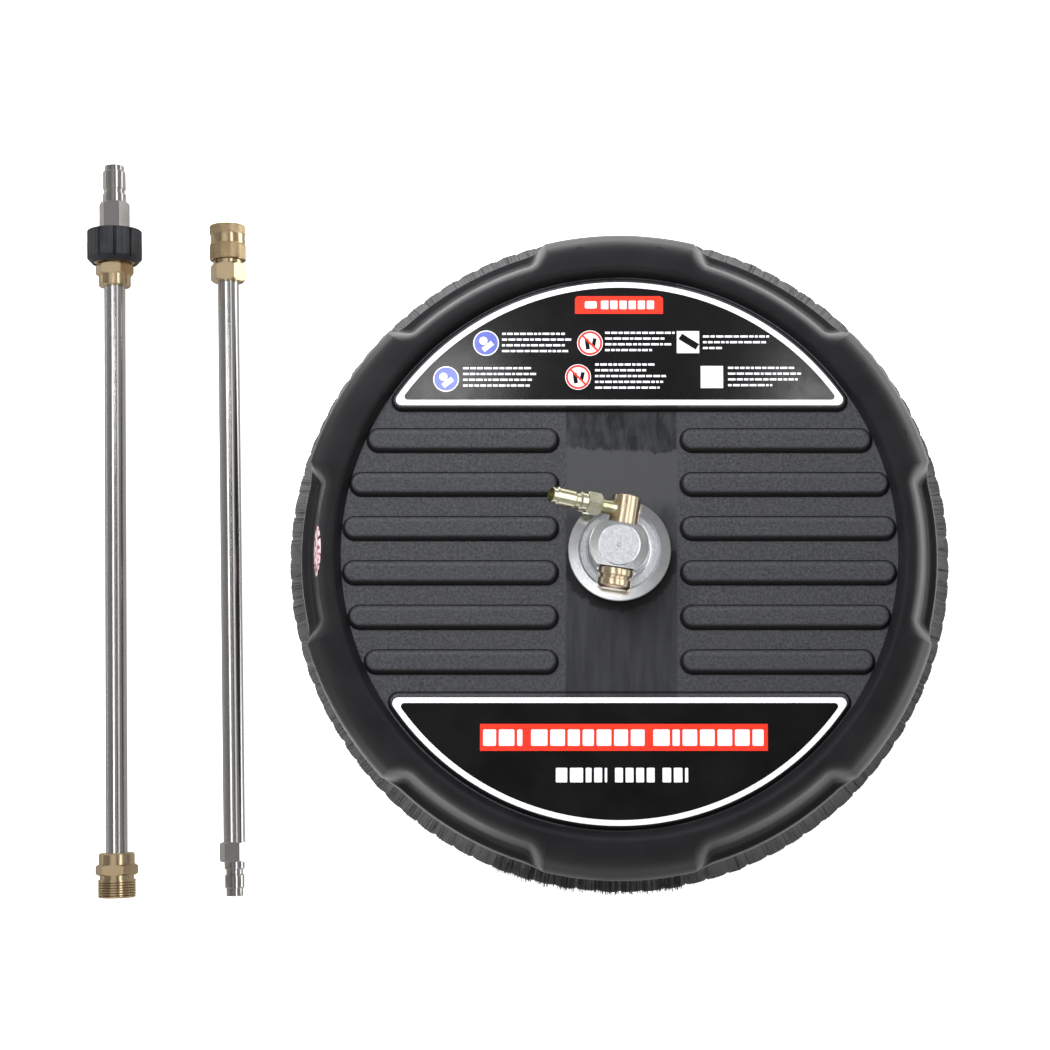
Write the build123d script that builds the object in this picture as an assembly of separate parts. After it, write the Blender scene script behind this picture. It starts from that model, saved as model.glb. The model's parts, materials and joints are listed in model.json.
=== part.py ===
from build123d import *
from math import acos, atan2, degrees, tan
import os

# Surface cleaner for a pressure washer, with its two extension wands lying beside it.
# Millimetres. The origin is on the ground at the spin axis of the spray bar, +Z is up,
# and +Y is the side that the wands' quick-connect ends point to.

# ---------------------------------------------------------------- driving dimensions

# deck housing: one moulded shell, hollow underneath
WALL = 3.0
PLATE_TOP = 48.0
PLATE_RADIUS = 163.0
CROWN_TOP = 55.0
LIP_BOTTOM = 18.0
LOBE_LIP_RADIUS = 191.8
RECESS_LIP_RADIUS = 190.4
RECESS_COUNT = 6
RECESS_SWEEP = 30.5
RECESS_SHOULDER = (172.3, 54.75)
RECESS_WALL_TOP = (176.5, 50.0)
RECESS_WALL_FOOT = (183.5, 27.5)
RECESS_FLOOR_EDGE = 26.0
SHOULDER_FILLET = 7.0
WALL_TOP_FILLET = 12.0
WALL_FOOT_FILLET = 5.0
BOSS_RADIUS = 4.5

# raised ribs and label pads on the plate
RAISE = 3.0
RAISE_CHAMFER = 2.6
RIB_PITCH = 26.04
RIB_WIDTH = 14.0
RIB_INNER_X = 35.6
RIB_OUTER_X = (162.0, 158.3, 148.5)
PAD_RADIUS = 161.8
PAD_EDGE_Y = 82.6
PAD_CORNER = 6.0
LABEL_RADIUS = 159.5
LABEL_EDGE_Y = 85.6
LABEL_CORNER = 3.5
LABEL_THICKNESS = 0.3
STICKER_LENGTH = 30.0
STICKER_WIDTH = 13.0
STICKER_THICKNESS = 0.3
STICKER_DROP = 3.2

# bristle skirt and its carrier
BRISTLE_TIP_RADIUS = 200.5
BRISTLE_TIP_INNER_RADIUS = 192.5
CARRIER_OUTER_RADIUS = 186.4
CARRIER_INNER_RADIUS = 174.0
CARRIER_BOTTOM = 15.0
CARRIER_TOP = 23.0
GROOVE_TOP = 21.0
GROOVE_INNER_RADIUS = 181.6
GROOVE_OUTER_RADIUS = 185.2
SCREW_CIRCLE = 177.6
SCREW_OFFSET_ANGLE = 7.5

# swivel body
FLANGE_RADIUS = 30.0
FLANGE_BOTTOM = 49.5
FLANGE_TOP = 56.0
RECESS_RADIUS = 24.0
RECESS_FLOOR = 53.0
BLOCK_RADIUS = 17.2
BLOCK_TOP = 83.0
BLOCK_FLAT = 12.75
BARREL_RADIUS = 17.0
BARREL_BOTTOM = 33.0
BEARING_BORE_RADIUS = 13.0
SEAL_BORE_RADIUS = 8.2
PIVOT_HEIGHT = 71.0
PIVOT_BORE_RADIUS = 6.0
PIVOT_YAW = -8.5

# bearings, seen from the spin axis
BALL_CIRCLE = 9.1
BALL_RADIUS = 1.9
BALL_COUNT = 8
BEARING_WIDTH = 8.0
UPPER_BEARING_BOTTOM = 43.0
LOWER_BEARING_BOTTOM = 35.0
SPINDLE_RADIUS = 5.0

# spray bar
ARM_HEIGHT = 24.5
ARM_RADIUS = 5.0
HUB_HALF_LENGTH = 15.0
NOZZLE_REACH = 145.0
NOZZLE_TILT = 18.0

# inlet plug, raised from level
PLUG_RAISE = 27.0
HEAD_RADIUS = 8.5
HEAD_LENGTH = 16.6

# wands: bottom end point, top end point, and the axis heights that let both ends rest
WAND_A_BOTTOM = (-296.95, -202.1, 11.02)
WAND_A_TOP = (-308.75, 239.6, 17.49)
WAND_B_BOTTOM = (-227.9, -201.4, 7.45)
WAND_B_TOP = (-239.85, 203.8, 11.46)
TUBE_RADIUS = 6.35
TUBE_BORE = 4.5
M22_CREST = 11.0
M22_PITCH = 1.5
M22_DEPTH = 0.9
NUT_THREAD_CREST = 10.5

# running clearances
SLIDE_GAP = 0.05
PLAY = 0.1


# ---------------------------------------------------------------- shared shapes

def turned(*profile):
    """Solid of revolution about Z from (radius, height) points."""
    return revolve(Plane.XZ * make_face(Polyline(*profile, close=True)), Axis.Z)


def ring(outer, inner, bottom, top):
    return turned((inner, bottom), (outer, bottom), (outer, top), (inner, top))


def drum(radius, bottom, top):
    return Pos(0, 0, bottom) * extrude(Circle(radius), top - bottom)


def hexagon(across_flats, bottom, top, corner_cut=0.0):
    """Hexagonal prism with flats across Y and, if asked, turned-off corners at both ends."""
    prism = Pos(0, 0, bottom) * extrude(RegularPolygon(across_flats / 2, 6, major_radius=False), top - bottom)
    prism = prism.rotate(Axis.Z, 30) if abs(prism.bounding_box().size.Y - across_flats) > 0.1 else prism
    if corner_cut:
        corner = across_flats / 3 ** 0.5
        flat = across_flats / 2
        prism &= turned((0, bottom), (flat, bottom), (corner, bottom + corner_cut),
                        (corner, top - corner_cut), (flat, top), (0, top))
    return prism


def one_solid(shape):
    """The single solid of a shape that boolean steps left inside a list or compound."""
    solids = shape.solids()
    return solids[0] if len(solids) == 1 else Compound(children=list(solids))


def group(shapes):
    solids = []
    for shape in shapes:
        solids.extend(shape.solids())
    return Compound(children=solids)


def around(shape, count, start=0.0):
    return [shape.rotate(Axis.Z, start + 360 * k / count) for k in range(count)]


def thread_grooves(radius, bottom, top, pitch, depth):
    """Concentric V grooves that stand for a thread cut into a shaft of this radius."""
    grooves = []
    height = bottom + pitch
    while height < top - pitch / 2:
        grooves.append(turned((radius - depth, height), (radius + 1, height - pitch / 2.4),
                              (radius + 1, height + pitch / 2.4)))
        height += pitch
    return grooves


def save(shape, node):
    if isinstance(shape, (Part, ShapeList)) or len(shape.solids()) != 1:
        shape = one_solid(shape)
    export_step(shape, f"parts/{node}.step")


# ---------------------------------------------------------------- deck housing

def deck_outline(lip_radius, inset):
    """Upper profile of a lobe, from the axis out to the lip, moved inward by inset."""
    return FilletPolyline(
        (0, PLATE_TOP - inset),
        (PLATE_RADIUS + inset / 2, PLATE_TOP - inset),
        (PLATE_RADIUS + 5 + inset / 2, CROWN_TOP - 0.3 - inset),
        (PLATE_RADIUS + 18 - inset / 2, CROWN_TOP - 0.6 - inset),
        (lip_radius - 0.4 - inset, CROWN_TOP - 15 - inset / 2),
        (lip_radius - inset, LIP_BOTTOM),
        radius=(1.2 + inset / 2, 4 - inset / 2, 16 - inset, 17 - inset))


def lobe_body(inset):
    """Everything under the lobe profile, as a solid of revolution."""
    upper = deck_outline(LOBE_LIP_RADIUS, inset)
    lower = Polyline(upper @ 1, (0, LIP_BOTTOM), (0, PLATE_TOP - inset))
    return revolve(Plane.XZ * make_face([upper, lower]), Axis.Z)


def recess_cutter(inset):
    """What a hand-grip recess takes off the lobe body, in one sector about +X."""
    wall = FilletPolyline(
        (PLATE_RADIUS + 5.6 - inset, 70),
        (PLATE_RADIUS + 5.6 - inset, RECESS_SHOULDER[1] - inset),
        (RECESS_SHOULDER[0] - inset, RECESS_SHOULDER[1] - inset),
        (RECESS_WALL_TOP[0] - inset, RECESS_WALL_TOP[1] - inset),
        (RECESS_WALL_FOOT[0] - inset, RECESS_WALL_FOOT[1] - inset),
        (RECESS_LIP_RADIUS - 1.5 - 0.7 * inset, RECESS_FLOOR_EDGE - inset),
        (RECESS_LIP_RADIUS - inset, LIP_BOTTOM),
        radius=(0.1, SHOULDER_FILLET - inset, WALL_TOP_FILLET - inset, WALL_FOOT_FILLET + inset / 3,
                max(1.2 - inset, 0.3)))
    outside = Polyline(wall @ 1, (RECESS_LIP_RADIUS - inset, LIP_BOTTOM - 4), (205, LIP_BOTTOM - 4),
                       (205, 70), wall @ 0)
    sweep_angle = RECESS_SWEEP + 2 * degrees(inset / 180)
    sector = revolve(Plane.XZ * make_face([wall, outside]), Axis.Z, sweep_angle)
    return sector.rotate(Axis.Z, -sweep_angle / 2)


def pill(inner_x, outer_x, y):
    """One raised rib, with sloping sides."""
    block = extrude(SlotOverall(abs(outer_x - inner_x), RIB_WIDTH), RAISE + 1)
    block = chamfer(block.faces().sort_by(Axis.Z)[-1].edges(), RAISE_CHAMFER)
    return Pos((inner_x + outer_x) / 2, y, PLATE_TOP - 1) * block


def segment_face(radius, edge_y, corner):
    """Circular segment above the chord y = edge_y, with rounded corners."""
    half_chord = (radius ** 2 - edge_y ** 2) ** 0.5
    start_angle = degrees(atan2(edge_y, half_chord))
    arc = CenterArc((0, 0), radius, start_angle, 180 - 2 * start_angle)
    chord = Line((half_chord, edge_y), (-half_chord, edge_y))
    return fillet(make_face([arc, chord]).vertices(), corner)


def label_pad():
    block = extrude(segment_face(PAD_RADIUS, PAD_EDGE_Y, PAD_CORNER), RAISE + 1)
    block = chamfer(block.faces().sort_by(Axis.Z)[-1].edges(), 1.8)
    return Pos(0, 0, PLATE_TOP - 1) * block


def screw_angles():
    return [60 * k + 30 + side * SCREW_OFFSET_ANGLE for k in range(6) for side in (-1, 1)]


def deck_housing():
    outer = lobe_body(0)
    cavity = lobe_body(WALL)
    for k in range(RECESS_COUNT):
        outer -= recess_cutter(0).rotate(Axis.Z, k * 360 / RECESS_COUNT)
        cavity -= recess_cutter(WALL).rotate(Axis.Z, k * 360 / RECESS_COUNT)
    for angle in screw_angles():
        boss = Pos(SCREW_CIRCLE, 0, CARRIER_TOP) * extrude(Circle(BOSS_RADIUS), 30)
        cavity -= boss.rotate(Axis.Z, angle)
    shell = outer - cavity
    for angle in screw_angles():
        pilot = Pos(SCREW_CIRCLE, 0, CARRIER_TOP - 1) * extrude(Circle(2.0), 13)
        shell -= pilot.rotate(Axis.Z, angle)
    for row, outer_x in enumerate(RIB_OUTER_X):
        y = RIB_PITCH * (row + 0.5)
        for sign_x in (-1, 1):
            for sign_y in (-1, 1):
                shell += pill(sign_x * RIB_INNER_X, sign_x * outer_x, sign_y * y)
    shell += label_pad()
    shell += label_pad().rotate(Axis.Z, 180)
    shell -= drum(BARREL_RADIUS + 0.2, 30, 60)
    return shell


def label_sheet():
    face = segment_face(LABEL_RADIUS, LABEL_EDGE_Y, LABEL_CORNER)
    return Pos(0, 0, PLATE_TOP + RAISE) * extrude(face, LABEL_THICKNESS)


def sticker_edge(rise):
    """Line over the shoulder and down the wall of a recess, this far off its surface."""
    corners = [Vector(r, 0, z) for r, z in (RECESS_SHOULDER, RECESS_WALL_TOP, RECESS_WALL_FOOT)]
    middle, lower = [(b - a).normalized() for a, b in zip(corners, corners[1:])]
    above, beside, outward = [Vector(-d.Z, 0, d.X) * rise for d in (Vector(1, 0, 0), middle, lower)]
    bend = acos(middle.X)
    shoulder = corners[0] + above + Vector(rise * tan(bend / 2), 0, 0)
    bend = acos(middle.dot(lower))
    wall_top = corners[1] + beside + middle * rise * tan(bend / 2)
    end = corners[1] + lower * 16 + outward
    start = corners[0] + above - Vector(3.4, 0, 0)
    return FilletPolyline(
        (start.X, start.Z), (shoulder.X, shoulder.Z), (wall_top.X, wall_top.Z), (end.X, end.Z),
        radius=(SHOULDER_FILLET + rise, WALL_TOP_FILLET + rise))


def oval_sticker():
    """Oval film on the steep outer wall of the recess on the -X side."""
    inside = sticker_edge(0)
    outside = sticker_edge(STICKER_THICKNESS)
    ends = [Line(inside @ 0, outside @ 0), Line(inside @ 1, outside @ 1)]
    film = revolve(Plane.XZ * make_face([inside, outside] + ends), Axis.Z, 14).rotate(Axis.Z, -7)
    top = Vector(RECESS_WALL_TOP[0], 0, RECESS_WALL_TOP[1])
    down = (Vector(RECESS_WALL_FOOT[0], 0, RECESS_WALL_FOOT[1]) - top).normalized()
    normal = Vector(-down.Z, 0, down.X)
    centre = top + down * STICKER_DROP
    oval_plane = Plane(origin=centre - normal * 8, x_dir=(0, 1, 0), z_dir=normal)
    punch = extrude(oval_plane * Ellipse(STICKER_LENGTH / 2, STICKER_WIDTH / 2), 12)
    return (film & punch).rotate(Axis.Z, 180)


def brush_carrier_ring():
    carrier = turned(
        (CARRIER_INNER_RADIUS, CARRIER_BOTTOM), (GROOVE_INNER_RADIUS, CARRIER_BOTTOM),
        (GROOVE_INNER_RADIUS, GROOVE_TOP), (GROOVE_OUTER_RADIUS, GROOVE_TOP),
        (GROOVE_OUTER_RADIUS, CARRIER_BOTTOM + 1.6), (CARRIER_OUTER_RADIUS, CARRIER_BOTTOM + 3.4),
        (CARRIER_OUTER_RADIUS, CARRIER_TOP - 2), (CARRIER_OUTER_RADIUS - 3.4, CARRIER_TOP),
        (CARRIER_INNER_RADIUS, CARRIER_TOP))
    for angle in screw_angles():
        hole = Pos(SCREW_CIRCLE, 0, CARRIER_BOTTOM - 1) * extrude(Circle(2.2), 12)
        head = Pos(SCREW_CIRCLE, 0, CARRIER_BOTTOM - 1) * extrude(Circle(3.6), 4)
        carrier -= (hole + head).rotate(Axis.Z, angle)
    return carrier


def bristle_skirt():
    gap = SLIDE_GAP
    return turned(
        (GROOVE_INNER_RADIUS + gap, GROOVE_TOP - gap), (GROOVE_INNER_RADIUS + gap, CARRIER_BOTTOM - 1),
        (BRISTLE_TIP_INNER_RADIUS, 0), (BRISTLE_TIP_RADIUS, 0),
        (GROOVE_OUTER_RADIUS - gap, CARRIER_BOTTOM + 1), (GROOVE_OUTER_RADIUS - gap, GROOVE_TOP - gap))


def skirt_screws():
    shank = drum(1.95, CARRIER_BOTTOM + 3, CARRIER_TOP + 10)
    head = drum(3.5, CARRIER_BOTTOM + 1.2, CARRIER_BOTTOM + 3)
    slot = Pos(0, 0, CARRIER_BOTTOM + 1.2) * (Box(4.4, 0.9, 1.4) + Box(0.9, 4.4, 1.4))
    screw = Pos(SCREW_CIRCLE, 0, 0) * (head + shank - slot)
    return group([screw.rotate(Axis.Z, angle) for angle in screw_angles()])


# ---------------------------------------------------------------- swivel body and clamp

def pivot_frame(shape):
    """Place a shape made about +Y through the origin on the swivel's cross axis."""
    return Pos(0, 0, PIVOT_HEIGHT) * shape.rotate(Axis.Z, PIVOT_YAW)


def along_y(shape):
    """Turn a shape made about +Z so that its axis is +Y."""
    return shape.rotate(Axis.X, -90)


def swivel_body():
    body = turned(
        (0, BARREL_BOTTOM), (BARREL_RADIUS, BARREL_BOTTOM), (BARREL_RADIUS, FLANGE_BOTTOM),
        (FLANGE_RADIUS - 0.5, FLANGE_BOTTOM), (FLANGE_RADIUS, FLANGE_BOTTOM + 0.5),
        (FLANGE_RADIUS, FLANGE_TOP - 0.4), (FLANGE_RADIUS - 0.4, FLANGE_TOP),
        (RECESS_RADIUS, FLANGE_TOP), (RECESS_RADIUS - 1.2, RECESS_FLOOR),
        (BLOCK_RADIUS + 2.6, RECESS_FLOOR), (BLOCK_RADIUS + 0.8, RECESS_FLOOR + 0.8),
        (BLOCK_RADIUS, RECESS_FLOOR + 3), (BLOCK_RADIUS, BLOCK_TOP - 0.5), (BLOCK_RADIUS - 0.5, BLOCK_TOP),
        (12.0, BLOCK_TOP), (11.75, BLOCK_TOP - 0.3), (11.4, BLOCK_TOP - 0.1),
        (1.4, BLOCK_TOP - 0.1), (0.8, BLOCK_TOP + 0.5), (0, BLOCK_TOP + 0.5))
    for side in (-1, 1):
        flat = Pos(0, side * (BLOCK_FLAT + 10), RECESS_FLOOR + 3.5 + 20) * Box(60, 20, 40)
        body -= flat.rotate(Axis.Z, PIVOT_YAW)
    body -= drum(BEARING_BORE_RADIUS, BARREL_BOTTOM - 1, UPPER_BEARING_BOTTOM + BEARING_WIDTH)
    body -= drum(SEAL_BORE_RADIUS, BARREL_BOTTOM, 58.5)
    body -= drum(3.0, 55, PIVOT_HEIGHT)
    body -= ring(BEARING_BORE_RADIUS + 0.9, BEARING_BORE_RADIUS - 1, 33.8, 34.9)
    body -= pivot_frame(along_y(drum(PIVOT_BORE_RADIUS, -30, 30)))
    for groove in thread_grooves(BARREL_RADIUS, BARREL_BOTTOM, FLANGE_BOTTOM - 4, 1.5, 0.85):
        body -= groove
    return body


def swivel_gasket():
    return ring(FLANGE_RADIUS - 1.2, BARREL_RADIUS + 0.2, PLATE_TOP, FLANGE_BOTTOM)


def clamp_washer():
    return ring(BARREL_RADIUS + 12, BARREL_RADIUS + 0.3, PLATE_TOP - WALL - 2, PLATE_TOP - WALL)


def clamp_nut():
    return hexagon(46, 34, PLATE_TOP - WALL - 2, 1.6) - drum(BARREL_RADIUS + 0.02, 30, 50)


def ball_race(bottom, which):
    """Outer or inner ring of a ball bearing, with the ball groove."""
    middle = bottom + BEARING_WIDTH / 2
    groove = Pos(0, 0, middle) * Torus(BALL_CIRCLE, BALL_RADIUS + PLAY)
    top = bottom + BEARING_WIDTH
    if which == "outer":
        return ring(BEARING_BORE_RADIUS, BALL_CIRCLE + 1.2, bottom, top) - groove
    return ring(BALL_CIRCLE - 1.2, SPINDLE_RADIUS, bottom, top) - groove


def ball_set(bottom):
    """Balls in a thin riveted cage that runs between the rings."""
    middle = bottom + BEARING_WIDTH / 2
    ball = Pos(BALL_CIRCLE, 0, middle) * Sphere(BALL_RADIUS)
    cage = ring(BALL_CIRCLE + 0.7, BALL_CIRCLE - 0.7, middle - 2.4, middle + 2.4)
    pocket = Pos(BALL_CIRCLE, 0, middle) * Rot(0, 90, 0) * Cylinder(BALL_RADIUS + PLAY, 4)
    for hole in around(pocket, BALL_COUNT):
        cage -= hole
    return group([cage] + around(ball, BALL_COUNT))


def bearing_circlip():
    clip = ring(BEARING_BORE_RADIUS + 0.85, BEARING_BORE_RADIUS - 1.8, 33.9, 34.9)
    return clip - Pos(12, 0, 34.4) * Box(10, 4, 3)


def shaft_seal():
    return turned((SPINDLE_RADIUS + SLIDE_GAP, 53), (SEAL_BORE_RADIUS, 53), (SEAL_BORE_RADIUS, 58.5),
                  (7.2, 58.5), (6.4, 55.5), (5.9, 58.5), (SPINDLE_RADIUS + SLIDE_GAP, 58.5))


# ---------------------------------------------------------------- spindle and spray bar

def spindle():
    shaft = turned(
        (0, 11.5), (4.2, 11.5), (SPINDLE_RADIUS, 12.3), (SPINDLE_RADIUS, 17.5), (6.0, 17.5), (6.0, 33.2),
        (7.2, 33.2), (7.2, 35.0), (SPINDLE_RADIUS, 35.0), (SPINDLE_RADIUS, 51.1), (4.4, 51.1), (4.4, 52.0),
        (SPINDLE_RADIUS, 52.0), (SPINDLE_RADIUS, 57.4), (4.4, 58.0), (0, 58.0))
    shaft -= drum(2.0, ARM_HEIGHT, 60)
    shaft -= (Pos(0, 0, ARM_HEIGHT) * Rot(0, 90, 0) * Cylinder(2.0, 20))
    return shaft


def spindle_circlip():
    return ring(6.4, 4.4, 51.1, 52.0) - Pos(6, 0, 51.5) * Box(6, 2.4, 3)


def spray_hub():
    hub = Pos(0, 0, 24.5) * Box(2 * HUB_HALF_LENGTH, 24, 14)
    hub = chamfer(hub.edges(), 1.2)
    hub -= drum(6.0, 17.5, 40)
    hub -= drum(SPINDLE_RADIUS, 10, 18)
    hub -= Pos(0, 0, ARM_HEIGHT) * Rot(0, 90, 0) * Cylinder(2.5, 40)
    for side in (-1, 1):
        hub -= Pos(side * 13, 0, ARM_HEIGHT) * Rot(0, 90, 0) * Cylinder(ARM_RADIUS, 8)
    return hub


def hub_nut():
    return hexagon(17, 12.5, 17.5, 0.8) - drum(SPINDLE_RADIUS, 10, 20)


def spray_arm(side):
    inner_end = 9.0
    outer_end = NOZZLE_REACH - 6.5
    arm = turned((3.0, inner_end), (4.5, inner_end), (ARM_RADIUS, inner_end + 0.5), (ARM_RADIUS, outer_end - 0.5),
                 (4.5, outer_end), (3.0, outer_end))
    return Pos(0, 0, ARM_HEIGHT) * arm.rotate(Axis.Y, side * 90)


def arm_locknuts():
    nut = hexagon(14, HUB_HALF_LENGTH, HUB_HALF_LENGTH + 5, 0.7) - drum(ARM_RADIUS, 0, 40)
    return group([Pos(0, 0, ARM_HEIGHT) * nut.rotate(Axis.Y, side * 90) for side in (-1, 1)])


def nozzle_frame(shape, side):
    """Place a shape made about the arm's +X end, tipped so that its jet drives the spin."""
    tipped = shape.rotate(Axis.X, NOZZLE_TILT)
    moved = Pos(NOZZLE_REACH, 0, ARM_HEIGHT) * tipped
    return moved if side > 0 else moved.rotate(Axis.Z, 180)


def nozzle_holders():
    socket = Rot(0, 90, 0) * Cylinder(7.2, 13)
    body = Pos(-5.5, 0, 0) * socket + Cylinder(7.0, 13, align=(Align.CENTER, Align.CENTER, Align.MAX))
    body += Sphere(7.2)
    body -= Pos(-9.5, 0, 0) * (Rot(0, 90, 0) * Cylinder(ARM_RADIUS, 6))
    body -= Pos(-4, 0, 0) * (Rot(0, 90, 0) * Cylinder(3.0, 10))
    body -= Pos(0, 0, -7) * Cylinder(4.0, 14)
    return group([nozzle_frame(body, side) for side in (-1, 1)])


def spray_tips():
    tip = turned((0.7, -16.5), (2.2, -16.5), (3.6, -15.4), (3.6, -14.0), (4.9, -13.8), (4.9, -13.0), (4.0, -13.0),
                 (4.0, -6.0), (2.0, -6.0), (2.0, -12.0), (0.7, -13.6))
    return group([nozzle_frame(tip, side) for side in (-1, 1)])


# ---------------------------------------------------------------- pivoting inlet

def inlet_frame(shape):
    """Place a shape made about +Z: its axis becomes the raised inlet, square to the pivot."""
    offset = BLOCK_FLAT + 0.15 + HEAD_LENGTH / 2
    raised = Pos(0, offset, 0) * shape.rotate(Axis.Y, -(90 - PLUG_RAISE))
    return pivot_frame(raised)


def pivot_elbow():
    """Head with the inlet thread, and the hollow pin that runs through the block."""
    start = BLOCK_FLAT + 0.15
    head = turned((0, start), (HEAD_RADIUS - 0.4, start), (HEAD_RADIUS, start + 0.4),
                  (HEAD_RADIUS, start + HEAD_LENGTH - 0.4), (HEAD_RADIUS - 0.4, start + HEAD_LENGTH),
                  (0, start + HEAD_LENGTH))
    pin_radius = PIVOT_BORE_RADIUS - SLIDE_GAP
    pin = drum(pin_radius, -BLOCK_FLAT - 5.1, start + 1)
    for middle in (-6.6, 6.6):
        pin -= ring(10, 4.9, middle - 1.1, middle + 1.1)
    pin -= ring(10, 4.6, -2.0, 2.0)
    stud = drum(5.0, -BLOCK_FLAT - 11.0, -BLOCK_FLAT - 5)
    elbow = pivot_frame(along_y(head + pin + stud - drum(2.2, -4, start + HEAD_LENGTH / 2)))
    elbow -= pivot_frame(Cylinder(1.6, 30))
    elbow -= inlet_frame(drum(4.4, 4.0, 12))
    elbow -= inlet_frame(drum(2.2, 0, 6))
    return elbow


def pivot_o_rings():
    o_rings = [turned((4.9, middle - 0.5), (5.5, middle - 0.95), (5.95, middle - 0.4), (5.95, middle + 0.4),
                      (5.5, middle + 0.95), (4.9, middle + 0.5)) for middle in (-6.6, 6.6)]
    return group([pivot_frame(along_y(o_ring)) for o_ring in o_rings])


def pivot_collar():
    start = -BLOCK_FLAT - 5.1
    collar = turned((PIVOT_BORE_RADIUS - SLIDE_GAP, start + 0.0), (9.3, start), (9.3, start + 4.4),
                    (8.9, start + 4.9), (PIVOT_BORE_RADIUS - SLIDE_GAP, start + 4.9))
    return pivot_frame(along_y(collar))


def pivot_nut():
    end = -BLOCK_FLAT - 12.0
    shoulder = -BLOCK_FLAT - 5.1
    nut = hexagon(17, end, shoulder - 1.4, 0.9)
    nut += drum(8.2, shoulder - 1.4, shoulder)
    nut -= drum(5.0, end + 1.0, shoulder + 1)
    return pivot_frame(along_y(nut))


def inlet_plug():
    """Male quick-connect plug: threaded neck, hexagon, collar, groove, nose and open tip."""
    plug = turned((0, 6.0), (4.4, 6.0), (4.4, 17.0), (5.5, 17.0), (5.5, 26.0), (5.9, 26.2), (5.9, 29.6),
                  (4.6, 30.6), (4.6, 32.8), (5.2, 33.4), (5.55, 34.0), (5.55, 44.0), (4.8, 45.0),
                  (4.8, 47.3), (4.5, 47.6), (0, 47.6))
    plug += hexagon(12.4, 17.0, 26.0, 1.0)
    plug -= drum(2.2, 5, 40)
    plug -= turned((0, 38), (3.0, 38), (3.9, 44), (3.9, 49), (0, 49))
    for groove in thread_grooves(4.4, 8.6, 17.0, 1.2, 0.5):
        plug -= groove
    return inlet_frame(plug)


# ---------------------------------------------------------------- wands

def wand_location(bottom, top):
    """Location that puts local +Z on the wand's axis, with a hexagon's flat facing down."""
    direction = Vector(*top) - Vector(*bottom)
    side = direction.cross(Vector(0, 0, 1)).normalized()
    return Plane(origin=bottom, x_dir=side, z_dir=direction.normalized()).location


WAND_A = wand_location(WAND_A_BOTTOM, WAND_A_TOP)
WAND_B = wand_location(WAND_B_BOTTOM, WAND_B_TOP)


def wand_a_tube():
    return ring(TUBE_RADIUS, TUBE_BORE, 16, 380)


def wand_a_thread_fitting():
    """Lower brass fitting with the M22 male thread that takes the lance or gun."""
    fitting = turned((0, 0), (M22_CREST - 0.8, 0), (M22_CREST, 0.8), (M22_CREST, 10.5), (10.0, 10.5),
                     (10.0, 13.2), (0, 13.2))
    fitting += hexagon(22, 13.2, 19.5, 1.0)
    fitting += turned((0, 19.5), (10.5, 19.5), (10.5, 25.4), (9.9, 26.2), (0, 26.2))
    fitting -= drum(7.1, -1, 10)
    fitting -= drum(TUBE_BORE, -1, 20)
    fitting -= drum(TUBE_RADIUS, 16, 30)
    for groove in thread_grooves(M22_CREST, 0, 10.5, M22_PITCH, M22_DEPTH):
        fitting -= groove
    return fitting


def wand_a_upper_fitting():
    """Upper brass fitting, whose male thread runs up into the hand nut."""
    fitting = turned((0, 366.8), (9.1, 366.8), (9.6, 367.4), (9.6, 373.6), (0, 373.6))
    fitting += hexagon(20, 373.6, 380.4, 1.1)
    fitting += drum(NUT_THREAD_CREST, 380.4, 394.0)
    fitting -= drum(TUBE_RADIUS, 360, 380)
    fitting -= drum(TUBE_BORE, 360, 400)
    fitting -= drum(7.0, 383.5, 400)
    for groove in thread_grooves(NUT_THREAD_CREST, 381, 393.6, M22_PITCH, M22_DEPTH):
        fitting -= groove
    return fitting


def wand_a_plug():
    """Stainless quick-connect plug with the nipple that seals in the upper fitting."""
    plug = turned(
        (0, 385), (6.9, 385), (6.9, 388.0), (5.5, 388.0), (5.5, 390.6), (6.9, 390.6), (6.9, 394.0),
        (10.3, 394.0), (10.3, 397.4), (8.0, 397.4), (8.0, 401.8), (7.9, 401.8), (7.9, 418.7), (6.95, 418.7),
        (6.95, 424.0), (6.2, 424.3), (6.2, 426.8), (6.9, 427.1), (6.9, 437.6), (6.3, 438.2), (5.95, 438.2),
        (5.95, 441.2), (5.6, 441.7), (0, 441.7))
    plug += hexagon(16.2, 401.8, 418.7, 1.1)
    plug -= drum(3.5, 380, 450)
    plug -= turned((0, 434), (3.5, 434), (4.7, 439), (4.7, 445), (0, 445))
    return plug


def wand_a_o_ring():
    return turned((5.5, 388.6), (6.2, 388.1), (6.9, 388.6), (6.9, 390.0), (6.2, 390.5), (5.5, 390.0))


def hand_nut():
    """Plastic hand nut with broad lobes, chamfered towards the wand."""
    grip = turned((12.8, 380.9), (14.2, 380.9), (16.6, 384.2), (16.6, 400.4), (15.6, 401.4), (8.4, 401.4),
                  (8.4, 399.9), (12.8, 399.9))
    flute = Pos(17.6, 0, 390) * Cylinder(2.0, 40)
    for cutter in around(flute, 8, 22.5):
        grip -= cutter
    return grip


def hand_nut_insert():
    """Brass insert: bore over the male thread, and a lip that draws the plug's shoulder down."""
    bore = NUT_THREAD_CREST + PLAY
    return turned((bore, 381.6), (12.8, 381.6), (12.8, 399.9), (8.1, 399.9), (8.1, 397.6), (10.4, 397.6),
                  (10.4, 395.0), (bore, 394.6))


def wand_b_tube():
    return ring(TUBE_RADIUS, TUBE_BORE, 22, 379)


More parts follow.
